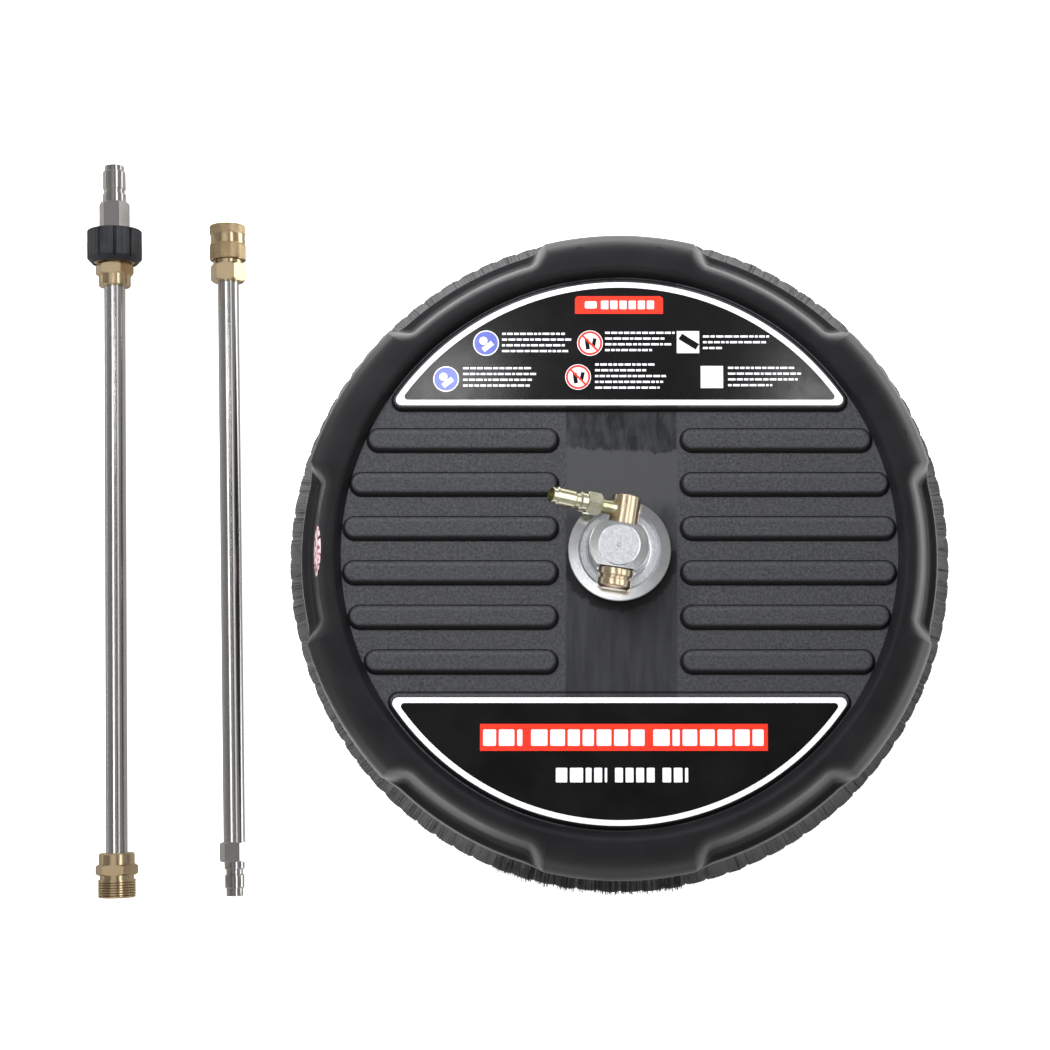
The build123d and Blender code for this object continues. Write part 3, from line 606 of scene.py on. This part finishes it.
def recess_share(angle):
    """1 in the middle of a recess, 0 on a lobe."""
    away = abs((angle + 30) % 60 - 30)
    share = min(max((away - RECESS_HALF_ANGLE) / RECESS_BLEND + 0.5, 0.0), 1.0)
    return 1 - 0.5 * smoothstep(share) - 0.5 * (1 - math.cos(share * math.pi / 2))


def swept_rings(angles, lobe, recess):
    """Rings of vertices around the deck, from the first profile point to the last."""
    rings = []
    for on_lobe, in_recess in zip(lobe, recess):
        ring = []
        for angle in angles:
            r, z = on_lobe.lerp(in_recess, recess_share(angle))
            ring.append((r * math.cos(math.radians(angle)), r * math.sin(math.radians(angle)), z))
        rings.append(ring)
    return rings


# (inward distance from the foot outline, height above the plate). A shallow crease runs round the foot; its rings take
# the dark rim moulding as painted shade.
RAISED_EDGE = [(-0.5, 0.0), (-0.35, -0.3), (-0.05, -0.3), (0.05, 0.28), (0.25, 0.7), (0.95, 1.75), (1.35, 2.2),
               (1.85, 2.58), (2.4, 2.82), (3.0, 2.95), (3.5, RAISE)]
PAD_EDGE = [(-0.45, 0.0), (-0.3, -0.3), (-0.05, -0.3), (0.12, 0.4), (0.7, 1.7), (1.0, 2.25), (1.4, 2.65),
            (1.9, 2.9), (2.3, RAISE)]
SHADED_CREASE_RINGS = 4


class Shell:
    """Vertices, faces and material numbers of the housing as it grows."""

    def __init__(self):
        self.verts = []
        self.faces = []
        self.kinds = []

    def add(self, verts, faces, kind):
        base = len(self.verts)
        self.verts.extend(verts)
        self.faces.extend(tuple(base + k for k in face) for face in faces)
        self.kinds.extend([kind] * len(faces))

    def rings(self, rings, kind):
        """Quads between rings of the same number of vertices."""
        count = len(rings[0])
        verts = [v for ring in rings for v in ring]
        faces = []
        for k in range(len(rings) - 1):
            faces.extend(bridge(k * count, (k + 1) * count, count))
        self.add(verts, faces, kind)


def circle(radius, z, count, centre=(0.0, 0.0)):
    return [(centre[0] + radius * math.cos(2 * math.pi * k / count),
             centre[1] + radius * math.sin(2 * math.pi * k / count), z) for k in range(count)]


def deck_housing():
    """One shell: rim with six recesses, ribs, label pads, plate, inner side and screw bosses."""
    plate, rim, within = 0, 1, 2
    shell = Shell()
    angles = sweep_angles()
    rise = resampled(RISE_PROFILE, 18)
    lobe = resampled(LOBE_PROFILE, 84)
    recess = resampled(RECESS_PROFILE, 84)
    shell.rings(swept_rings(angles, rise, rise), rim)
    shell.rings(swept_rings(angles, lobe, recess), rim)
    shell.rings(swept_rings(angles, [lobe[-1], LOBE_INNER[0]], [recess[-1], RECESS_INNER[0]]), rim)
    inner = swept_rings(angles, resampled(LOBE_INNER, 56), resampled(RECESS_INNER, 56))
    shell.rings(inner, within)

    outlines = []
    for row, outer_x in enumerate(RIB_OUTER_X):
        y = RIB_PITCH * (row + 0.5)
        for sign_x in (-1, 1):
            for sign_y in (-1, 1):
                outlines.append([
                    [(*p, PLATE_TOP + h) for p in
                     stadium(sign_x * RIB_INNER_X, sign_x * outer_x, sign_y * y, RIB_HALF_WIDTH - d)]
                    for d, h in RAISED_EDGE])
    for side in (-1, 1):
        outlines.append([
            [(*p, PLATE_TOP + h) for p in
             segment_outline(PAD_RADIUS - d, PAD_EDGE_Y + d, PAD_CORNER - d, side)]
            for d, h in PAD_EDGE])
    for rings in outlines:
        # The crease at each foot takes the dark rim moulding: painted shade in the corner.
        shell.rings(rings[:SHADED_CREASE_RINGS], rim)
        shell.rings(rings[SHADED_CREASE_RINGS - 1:], plate)
        shell.add(rings[-1], [tuple(range(len(rings[-1])))], plate)

    edge = [(PLATE_RADIUS * math.cos(math.radians(a)), PLATE_RADIUS * math.sin(math.radians(a))) for a in angles]
    hole = [p[:2] for p in circle(SWIVEL_HOLE, 0, 64)]
    points, faces = flat_with_holes(edge, [[p[:2] for p in rings[0]] for rings in outlines] + [hole])
    shell.add([(x, y, PLATE_TOP) for x, y in points], faces, plate)

    under = PLATE_TOP - WALL
    shell.rings([circle(SWIVEL_HOLE, PLATE_TOP, 64), circle(SWIVEL_HOLE, under, 64)], within)
    points, faces = flat_with_holes([p[:2] for p in inner[-1]], [hole])
    shell.add([(x, y, under) for x, y in points], faces, within)
    for k in range(6):
        for side in (-1, 1):
            angle = math.radians(60 * k + 30 + side * BOSS_OFFSET_ANGLE)
            centre = (BOSS_CIRCLE * math.cos(angle), BOSS_CIRCLE * math.sin(angle))
            outer = [circle(BOSS_RADIUS, z, 24, centre) for z in (CARRIER_TOP, 52)]
            bore = [circle(2.0, z, 24, centre) for z in (CARRIER_TOP, 43)]
            shell.rings([bore[1], bore[0], outer[0], outer[1]], within)
            shell.add(outer[1], [tuple(range(24))], within)
            shell.add(bore[1], [tuple(range(24))], within)
    piece = add_piece("deck_shell", shell.verts, shell.faces, [PLASTIC_PLATE, PLASTIC_RIM, PLASTIC_INSIDE],
                      "deck", shell.kinds, ["deck_housing"], 30)
    weight_normals(piece)


# ---------------------------------------------------------------- bristle skirt


def skirt_radius(share, outward):
    """Radius of the inner (0) or outer (1) face of the skirt, this far down from the root."""
    root = SKIRT_ROOT[0] + (SKIRT_ROOT[1] - SKIRT_ROOT[0]) * outward
    tip = SKIRT_TIP[0] + (SKIRT_TIP[1] - SKIRT_TIP[0]) * outward
    return root + (tip - root) * (0.75 * share + 0.25 * share * share)


def bristle_skirt():
    """Packed tufts that splay outward to the ground, with loose bristles over them."""
    draw = random.Random(7)
    levels = [0.0, 0.12, 0.3, 0.5, 0.7, 0.86, 0.96]
    columns = 20
    count = TUFTS * columns
    reach = [draw.uniform(-0.35, 0.0) for _ in range(TUFTS)]
    lean = [draw.uniform(-0.12, 0.12) for _ in range(TUFTS)]
    grain = [draw.uniform(-1, 1) for _ in range(count)]
    verts = []
    rings = []
    for outward, run in ((1, levels), (0, levels[::-1])):
        for share in run:
            rings.append(len(verts))
            for k in range(count):
                tuft = k // columns
                u = 2 * (k % columns) / columns - 1
                bulge = math.sqrt(max(1 - (u - lean[tuft]) ** 2, 0.0)) - 1
                out = outward * share * (bulge + reach[tuft]) + 0.09 * share * grain[k]
                radius = skirt_radius(share, outward) + out
                angle = 2 * math.pi * k / count
                z = SKIRT_ROOT_HEIGHT * (1 - share) + 0.5 * grain[(k * 7) % count] * (share > 0.9)
                verts.append((radius * math.cos(angle), radius * math.sin(angle), z))
    faces = []
    for first, second in zip(rings, rings[1:] + rings[:1]):
        faces.extend(bridge(first, second, count))
    kinds = [0] * len(faces)
    for tuft in range(TUFTS):
        degrees = (tuft + 0.5) * 360 / TUFTS
        frayed = FRAYED_SECTOR[0] < degrees < FRAYED_SECTOR[1]
        for strand in range(STRANDS * 2 if frayed else STRANDS):
            extra = frayed and strand >= STRANDS
            u = draw.uniform(-0.95, 0.95)
            outward = draw.uniform(0.75, 1.0) if strand % 2 else draw.uniform(0.0, 1.0)
            bulge = math.sqrt(1 - u * u) - 1
            line = []
            for share in (0.02, 0.5, 0.98 + draw.uniform(-0.02, 0.012)):
                out = share * (1.1 * outward * bulge + reach[tuft]) + (0.04 + 0.1 * share) * (outward > 0.7)
                if extra:
                    out += share * share * draw.uniform(0.6, 2.0)
                width = 360 / TUFTS * (0.5 * u + draw.uniform(-0.03, 0.03) * share)
                line.append((skirt_radius(share, outward) + out, math.radians(degrees + width),
                             max(SKIRT_ROOT_HEIGHT * (1 - share), 0.15)))
            base = len(verts)
            for (r, angle, z), thick in zip(line, (0.32, 0.32, 0.24)):
                r = min(r, 202.0 if extra else 200.2)
                for k in range(3):
                    turn = 2 * math.pi * k / 3
                    radius = r + thick * math.cos(turn)
                    a = angle + thick * math.sin(turn) / r
                    verts.append((radius * math.cos(a), radius * math.sin(a), z))
            for level in (0, 3):
                faces.extend(bridge(base + level, base + level + 3, 3))
            faces.append((base + 8, base + 7, base + 6))
            faces.append((base, base + 1, base + 2))
            kinds.extend([1 if extra else 0] * 8)
    add_piece("bristle_tufts", verts, faces, [NYLON, NYLON_DARK], "deck", kinds,
              ["bristle_skirt"], 60)


# ---------------------------------------------------------------- turned pieces


class Axle:
    """A line in the frame; places are given by distance along it, radius, and angle from its upper side."""

    def __init__(self, point, axis):
        self.point = Vector(point) / MM
        self.along = Vector(axis).normalized()
        self.side = self.along.cross(Vector((0, 0, 1))).normalized()
        self.up = self.side.cross(self.along)

    def at(self, u, radius, angle):
        across = self.up * math.cos(angle) + self.side * math.sin(angle)
        return tuple(self.point + self.along * u + across * radius)

    def reach(self, node):
        """Lowest and highest distance of a CAD node along the line."""
        places = [(v.co / MM - self.point).dot(self.along) for v in NODES[node].data.vertices]
        return min(places), max(places)


def joint_axle(name):
    joint = next(j for j in frame["joints"] if j["name"] == name)
    return Axle(joint["pos_m"], joint["axis"])


def mount_axle(name):
    mount = next(m for m in RECORD["mounts"] if m["name"] == name)
    return Axle(mount["pos_m"], mount["axis"])


def spun(name, axle, profile, count, material, body, replaced, relief=None):
    """A closed profile of (distance, radius) turned about a line; relief says how deep a place is cut."""
    verts = []
    for u, radius in profile:
        for k in range(count):
            angle = 2 * math.pi * k / count
            cut = relief(u, radius, angle) if relief else 0.0
            verts.append(axle.at(u, radius - cut, angle))
    faces = []
    for row in range(len(profile)):
        faces.extend(bridge(row * count, (row + 1) % len(profile) * count, count))
    add_piece(name, verts, faces, [material], body, None, [replaced], 34)


def hand_nut_grip():
    """Ten broad lobes between narrow grooves that run out through the face."""
    axle = joint_axle("hand_nut_turn")
    low, high = axle.reach("hand_nut")
    path = [(low, 12.85), (low, 13.6), (low + 3.4, NUT_RADIUS), (high, NUT_RADIUS), (high, 8.4)]
    outer = rounded(path, [0.8, 1.6, 1.3])
    fine = resampled(outer[:-1], 60) + [outer[-1]]
    profile = [tuple(p) for p in fine] + [(high - 1.5, 8.4), (high - 1.5, 12.85)]

    def relief(u, radius, angle):
        pitch = 2 * math.pi / NUT_LOBES
        away = abs((angle - NUT_PHASE + pitch / 2) % pitch - pitch / 2)
        groove = NUT_GROOVE_DEPTH * (1 - smoothstep(away * NUT_RADIUS / NUT_GROOVE_HALF_WIDTH))
        limit = NUT_RADIUS - groove - NUT_LOBE_CROWN * (2 * away / pitch) ** 2
        return max(radius - limit, 0.0) if radius > 13.2 else 0.0

    spun("hand_nut_grip", axle, profile, 400, NUT_PLASTIC, "nut_assembly", "hand_nut", relief)


def knurled_sleeve():
    """Sleeve with a diamond knurl on its lower band and on the collar at its mouth."""
    axle = mount_axle("wand_b_socket")
    low, high = axle.reach("socket_sleeve")
    path = [(low, 10.05), (low, 10.7), (low + 0.7, SLEEVE_RADIUS), (low + 9.0, SLEEVE_RADIUS), (low + 9.7, 10.5),
            (high - 5.9, 10.3), (high - 5.3, 11.05), (high - 0.7, 11.05), (high, 10.4), (high, 9.5)]
    outer = resampled(rounded(path, [0.1, 0.3, 0.3, 0.4, 0.6, 0.3, 0.3, 0.1]), 150)
    profile = [tuple(p) for p in outer] + [(high - 3.25, 9.5), (high - 3.25, SLEEVE_BORE),
                                           (low + 11.1, SLEEVE_BORE), (low + 11.1, 10.05)]

    def relief(u, radius, angle):
        if radius < 10.95:
            return 0.0
        ridges = [abs((angle + way * u * KNURL_LEAN) * KNURLS / (2 * math.pi) % 1.0 - 0.5) * 2 for way in (-1, 1)]
        return KNURL_DEPTH * max(ridges)

    spun("knurled_sleeve", axle, profile, KNURLS * 6, BRASS, "sleeve", "socket_sleeve", relief)


def coil_spring():
    """Round wire coil in the place of the sleeve's spring."""
    axle = mount_axle("wand_b_socket")
    low, high = axle.reach("sleeve_spring")
    steps = 200
    sides = 8
    verts = []
    faces = []
    for k in range(steps + 1):
        angle = 2 * math.pi * SPRING_TURNS * k / steps
        u = low + SPRING_WIRE + (high - low - 2 * SPRING_WIRE) * k / steps
        for j in range(sides):
            turn = 2 * math.pi * j / sides
            radius = SPRING_RADIUS + SPRING_WIRE * math.cos(turn)
            verts.append(axle.at(u + SPRING_WIRE * math.sin(turn), radius, angle))
        if k:
            faces.extend(bridge((k - 1) * sides, k * sides, sides))
    faces.append(tuple(range(sides)))
    faces.append(tuple(range(steps * sides, (steps + 1) * sides)))
    piece = add_piece("coil_spring", verts, faces, [SPRING], "wand_b", None, ["sleeve_spring"])
    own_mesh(piece)


def pivot_cap():
    """Round brass collar and the domed cap screwed on behind it."""
    axle = joint_axle("inlet_tilt")
    low, high = axle.reach("pivot_collar")
    profile = rounded([(high, 6.5), (high, 10.3), (low + 0.9, 10.3), (low + 0.5, 9.2), (low, 9.2), (low, 6.5)],
                      [0.5, 0.5, 0.1, 0.1], 0.2)
    spun("pivot_collar_ring", axle, [tuple(p) for p in profile], 96, PIVOT_BRASS, "inlet",
         "pivot_collar")
    low, high = axle.reach("pivot_nut")
    path = [(high, 5.5), (high, 8.7), (high - 1.0, 8.7), (high - 1.3, 9.8), (low + 1.8, 9.8), (low, 7.6), (low, 0.0)]
    profile = [tuple(p) for p in rounded(path, [0.1, 0.1, 0.3, 1.4, 0.9], 0.2)] + [(low + 1.1, 0.0), (low + 1.1, 5.5)]
    spun("pivot_nut_cap", axle, profile, 96, PIVOT_BRASS, "inlet", "pivot_nut")


# ---------------------------------------------------------------- printed labels


class Print:
    """Flat printed shapes on one label, in that label's own upright axes."""

    def __init__(self):
        self.shell = Shell()
        self.layer = 0

    def raised(self, outline):
        """The outline at the height of the current layer, a hair above the last one."""
        z = LABEL_TOP + PRINT_LIFT + LAYER_LIFT * self.layer
        return [(x, y, z) for x, y in outline]

    def shape(self, outline, kind):
        self.shell.add(self.raised(outline), [tuple(range(len(outline)))], kind)

    def band(self, outer, inner, kind):
        self.shell.rings([self.raised(outer), self.raised(inner)], kind)

    def box(self, x0, y0, x1, y1, kind, corner=0.0, square_foot=False):
        """A rectangle, with rounded corners if wanted, or only its upper two rounded."""
        outline = []
        for cx, cy, start in ((x1 - corner, y1 - corner, 0), (x0 + corner, y1 - corner, 90),
                              (x0 + corner, y0 + corner, 180), (x1 - corner, y0 + corner, 270)):
            if not corner or square_foot and start >= 180:
                outline.append((x0 if 90 <= start <= 180 else x1, y1 if start <= 90 else y0))
                continue
            for k in range(6):
                angle = math.radians(start + 18 * k)
                outline.append((cx + corner * math.cos(angle), cy + corner * math.sin(angle)))
        self.shape(outline, kind)

    def disc(self, x, y, radius, kind):
        self.shape([p[:2] for p in circle(radius, 0, 40, (x, y))], kind)

    def ring(self, x, y, radius, width, kind):
        self.band([p[:2] for p in circle(radius, 0, 40, (x, y))],
                  [p[:2] for p in circle(radius - width, 0, 40, (x, y))], kind)

    def stripe(self, x, y, length, width, degrees, kind):
        """A bar through a point at an angle."""
        along = Vector((math.cos(math.radians(degrees)), math.sin(math.radians(degrees)))) * length / 2
        across = Vector((-along.y, along.x)).normalized() * width / 2
        middle = Vector((x, y))
        self.shape([tuple(middle + a * along + b * across) for a, b in ((1, 1), (-1, 1), (-1, -1), (1, -1))], kind)

    def blocks(self, x, low, high, widths, gap, word_gap, corner):
        """A row of plain white blocks. A width of 0 is a gap between groups."""
        for width in widths:
            if width:
                self.box(x, low, x + width, high, WHITE, corner)
                x += width + gap
            else:
                x += word_gap

    def lines(self, x0, top, widths, pitch, height, draw, kind):
        """Lines of short plain dashes that stand in for writing."""
        for row, width in enumerate(widths):
            x = x0
            y = top - row * pitch
            while x < x0 + width - 1.2:
                dash = min(draw.uniform(1.6, 4.6), x0 + width - x)
                self.box(x, y - height, x + dash, y, kind)
                x += dash + 0.75


WHITE, RED, BLUE, BLACK = 0, 1, 2, 3
INKS = [LABEL_WHITE, LABEL_RED, LABEL_BLUE, LABEL_BLACK]


def border(page):
    page.band(segment_outline(LABEL_RADIUS - 0.1, LABEL_EDGE_Y + 0.1, LABEL_CORNER - 0.1),
              segment_outline(LABEL_RADIUS - STROKE, LABEL_EDGE_Y + STROKE, 2.0), WHITE)


def rear_label_print():
    """A red tab of plain blocks, six generic signs, and lines of dashes instead of writing."""
    draw = random.Random(3)
    page = Print()
    border(page)
    page.box(-26.3, 140.4, 25.7, 151.0, RED, 2.2, True)
    signs = {"blue": [(-78.7, 122.8), (-102.1, 101.3)], "red": [(-17.4, 122.8), (-24.4, 102.5)],
             "square": [(40.4, 123.4), (54.4, 102.5)]}
    for x, y in signs["blue"]:
        page.disc(x, y, 7.6, WHITE)
    for x, y in signs["red"]:
        page.disc(x, y, 7.6, WHITE)
    for x, y in signs["square"]:
        page.box(x - 6.6, y - 6.6, x + 6.6, y + 6.6, WHITE)
    text = [(-69.3, 129.0, (37, 41, 37, 39)), (-8.5, 129.6, (41, 35, 40, 28)), (49.2, 127.4, (40, 39, 12)),
            (-92.1, 108.4, (40, 43, 42, 40)), (-14.4, 110.6, (35, 31, 43, 40, 38)), (63.9, 108.6, (39, 43, 41, 26))]
    for x, y, widths in text:
        page.lines(x, y, widths, 3.45, 1.25, draw, WHITE)
    page.layer = 1
    page.box(-20.5, 143.6, -13.5, 147.9, WHITE, 1.0)
    for x0, x1 in ((-11.0, -6.6), (-5.4, -1.2), (0.0, 4.2), (5.4, 9.6), (10.8, 15.0), (16.2, 20.4)):
        page.box(x0, 143.2, x1, 148.3, WHITE, 0.5)
    for x, y in signs["blue"]:
        page.disc(x, y, 7.0, BLUE)
    for x, y in signs["red"]:
        page.ring(x, y, 7.2, 1.25, RED)
    x, y = signs["square"][0]
    page.stripe(x + 0.5, y + 0.3, 12.0, 4.0, -32, BLACK)
    page.layer = 2
    for x, y in signs["blue"]:
        page.disc(x - 1.6, y + 1.4, 2.4, WHITE)
        page.stripe(x + 1.0, y - 2.0, 7.0, 3.0, 38, WHITE)
    for x, y in signs["red"]:
        page.stripe(x - 1.6, y - 0.6, 2.4, 6.4, 8, BLACK)
        page.stripe(x + 2.4, y + 0.4, 2.2, 5.0, -12, BLACK)
    page.layer = 3
    for x, y in signs["red"]:
        page.stripe(x, y, 13.4, 1.2, -45, RED)
    place_print("rear_label_print", page)


def front_label_print():
    """A red bar with a row of plain blocks in it and a shorter row under it, turned to face the front."""
    page = Print()
    border(page)
    page.box(-85.7, 101.0, 80.6, 116.5, RED)
    small = (1.8, 5.0, 5.0, 0, 4.6, 4.6, 4.6, 4.6, 0, 1.4, 4.6, 3.4, 7.6, 6.6)
    page.blocks(-39.6, 126.2, 134.6, small, 1.5, 3.0, 0.6)
    page.layer = 1
    large = (6.5, 8.5, 8.5, 8.5, 8.5, 4.2, 9.5, 0, 8.0, 8.0, 8.5, 6.5, 7.0, 8.5, 9.5, 0, 3.0, 9.0, 7.5)
    page.blocks(-83.3, 104.2, 113.6, large, 1.6, 3.4, 0.8)
    place_print("front_label_print", page, 180)


def place_print(name, page, turn=0):
    """Put a page on the deck, turned by this many degrees about the deck's axis."""
    angle = math.radians(turn)
    verts = [(x * math.cos(angle) - y * math.sin(angle), x * math.sin(angle) + y * math.cos(angle), z)
             for x, y, z in page.shell.verts]
    face_up(add_piece(name, verts, page.shell.faces, INKS, "deck", page.shell.kinds))


def face_up(piece):
    """Point every face of a flat print upward."""
    work = bmesh.new()
    work.from_mesh(piece.data)
    for face in work.faces:
        if face.normal.z < 0:
            face.normal_flip()
    work.to_mesh(piece.data)
    work.free()


# ---------------------------------------------------------------- stage, light and camera


def softbox(name, place, aim, size, radiance, only=None):
    """Rectangular light of this radiance with its second side along Y, if wanted on a few pieces only."""
    data = bpy.data.lights.new(name, "AREA")
    data.shape = "RECTANGLE"
    data.size, data.size_y = size
    data.energy = radiance * math.pi * size[0] * size[1]
    light = bpy.data.objects.new(name, data)
    SCENE.collection.objects.link(light)
    backward = (Vector(place) - Vector(aim)).normalized()
    across = Vector((0, 1, 0)).cross(backward).normalized()
    light.location = place
    light.rotation_euler = Matrix((across, backward.cross(across), backward)).transposed().to_euler()
    if only is not None:
        light.light_linking.receiver_collection = only
    return light


def group_of(name, pieces):
    group = bpy.data.collections.new(name)
    for piece in pieces:
        group.objects.link(piece)
    return group


def flat_sheet(name, low, high, height, finish):
    """A rectangle from one corner to the other, which is part of the stage."""
    mesh = bpy.data.meshes.new(name)
    corners = [(low[0], low[1]), (high[0], low[1]), (high[0], high[1]), (low[0], high[1])]
    mesh.from_pydata([(x, y, height) for x, y in corners], [], [(0, 1, 2, 3)])
    mesh.materials.append(finish.material)
    piece = bpy.data.objects.new(name, mesh)
    SCENE.collection.objects.link(piece)
    return piece


def reflection_card(name, low, high, color, level):
    """A dimly glowing grey card on the floor that only shiny surfaces see, a painted reflection: the camera does not
    see it, it lights nothing matte and casts no shadow.
    """
    f = Finish(name, (0.1, 0.1, 0.1), 0.9, Emission_Color=(*color, 1.0), Emission_Strength=level)
    two_tone(f, f.noise(3, 3), (0.10, 0.10, 0.10), (0.12, 0.12, 0.12))
    piece = flat_sheet(name, low, high, CARD_LIFT, f)
    piece.visible_camera = False
    piece.visible_diffuse = False
    piece.visible_shadow = False


def room_light():
    """Soft grey surroundings, brighter to the front and back and near the horizon; plain white as a backdrop."""
    world = bpy.data.worlds.new("room")
    SCENE.world = world
    world.use_nodes = True
    tree = world.node_tree
    background = tree.nodes["Background"]
    background.inputs["Color"].default_value = (1.0, 1.0, 1.0, 1.0)
    coords = tree.nodes.new("ShaderNodeTexCoord")
    split = tree.nodes.new("ShaderNodeSeparateXYZ")
    tree.links.new(coords.outputs["Generated"], split.inputs[0])
    _, y, z = split.outputs
    ends = math_node(tree, "POWER", math_node(tree, "ABSOLUTE", y), 0.8)
    horizon = math_node(tree, "SQRT", math_node(tree, "SUBTRACT", 1, math_node(tree, "ABSOLUTE", z)))
    level = math_node(tree, "ADD", math_node(tree, "MULTIPLY", ends, 0.20), math_node(tree, "MULTIPLY", horizon, 0.22))
    level = math_node(tree, "ADD", level, 0.055)
    rays = tree.nodes.new("ShaderNodeLightPath")
    seen = math_node(tree, "MAXIMUM", level, rays.outputs["Is Camera Ray"])
    tree.links.new(seen, background.inputs["Strength"])


def studio():
    """Floor, surroundings, and boxes of light for the deck and for each group of shiny pieces."""
    paper = Finish("floor_paper", (0.8, 0.8, 0.8), 0.9, Emission_Color=(1.0, 1.0, 1.0, 1.0), Emission_Strength=1.05)
    two_tone(paper, paper.noise(3, 3), (0.78, 0.78, 0.78), (0.82, 0.82, 0.82))
    flat_sheet("floor", (-FLOOR_REACH, -FLOOR_REACH), (FLOOR_REACH, FLOOR_REACH), 0, paper)
    # Painted reflections: glowing cards, darker than the floor, seen only in shiny pieces under the wands and in front
    # of the deck.
    reflection_card("wand_card", (-0.75, -0.6), (-0.205, 0.7), (1.0, 0.96, 0.92), 0.24)
    reflection_card("front_card", (-0.2, -0.6), (0.5, -0.2), (1.0, 1.0, 1.0), 0.6)
    room_light()

    groups = {name: group_of(name, [NODES.get(n) or bpy.data.objects[n] for n in pieces]) for name, pieces in (
        ("wand_tubes", ("wand_a_tube", "wand_b_tube")),
        ("wand_plugs", ("wand_a_plug", "wand_b_plug", "hand_nut_grip")),
        ("wand_brass", ("wand_a_thread_fitting", "wand_a_upper_fitting", "socket_body", "hand_nut_insert",
                        "knurled_sleeve")),
        ("swivel_pieces", ("swivel_body", "pivot_elbow", "inlet_plug", "pivot_collar_ring", "pivot_nut_cap")))}
    key = softbox("key", (-0.45, 0.75, 1.1), (0.0, 0.0, 0.05), (0.9, 0.9), 15.0)
    key.visible_glossy = False

    # (name, place, size, radiance) of the boxes that light only one group, by the point they are aimed at
    wands = (-0.30, 0.02, 0.02)
    block = (0.0, 0.0, 0.06)
    for aim, group, boxes in (
            (wands, "wand_tubes", (("tube_left", (-0.58, 0.1, 1.2), (0.26, 2.4), 3.0),
                                   ("tube_right", (0.70, 0.1, 1.2), (0.36, 2.4), 1.0),
                                   ("tube_top", (-0.10, 0.1, 1.6), (0.6, 2.4), 0.2))),
            (wands, "wand_plugs", (("plug_right", (0.56, 0.1, 1.2), (0.28, 2.4), 3.4),
                                   ("plug_top", (-0.40, 0.1, 1.6), (0.8, 2.4), 0.16))),
            (wands, "wand_brass", (("brass_right", (0.62, 0.1, 1.2), (0.30, 2.4), 2.6),
                                   ("brass_top", (-0.55, 0.1, 1.6), (1.1, 2.6), 0.5))),
            (block, "swivel_pieces", (("swivel_left", (-0.42, 0.15, 1.2), (0.22, 1.6), 2.6),
                                      ("swivel_right", (0.50, 0.15, 1.2), (0.30, 1.6), 2.6),
                                      ("swivel_side", (1.30, 0.1, 0.95), (0.7, 1.4), 1.9)))):
        for name, place, size, radiance in boxes:
            softbox(name, place, aim, size, radiance, groups[group])

    # boxes straight above the place they light
    for name, x, y, size, radiance, group in (
            ("swivel_top", -0.24, -0.11, (0.52, 0.48), 1.9, groups["swivel_pieces"]),
            ("label_left", -0.222, 0.366, (0.12, 0.075), 9.0, None),
            ("label_right", 0.238, 0.352, (0.075, 0.07), 9.0, None)):
        softbox(name, (x, y, 1.5), (x, y, 0.0), size, radiance, group)


def camera():
    """The view from above, tipped a little towards the rear of the deck."""
    data = bpy.data.cameras.new("camera")
    data.sensor_width = 36.0
    data.lens = CAMERA_LENS
    data.shift_x = CAMERA_SHIFT_X
    data.clip_end = 50
    eye = bpy.data.objects.new("camera", data)
    SCENE.collection.objects.link(eye)
    away = CAMERA_DISTANCE * math.sin(CAMERA_TILT)
    eye.location = (0.0, CAMERA_AIM_Y - away, CAMERA_DISTANCE * math.cos(CAMERA_TILT))
    eye.rotation_euler = (CAMERA_TILT, 0.0, 0.0)
    SCENE.camera = eye


deck_housing()
bristle_skirt()
hand_nut_grip()
knurled_sleeve()
coil_spring()
pivot_cap()
rear_label_print()
front_label_print()
studio()
camera()
SCENE.view_settings.view_transform = "Standard"
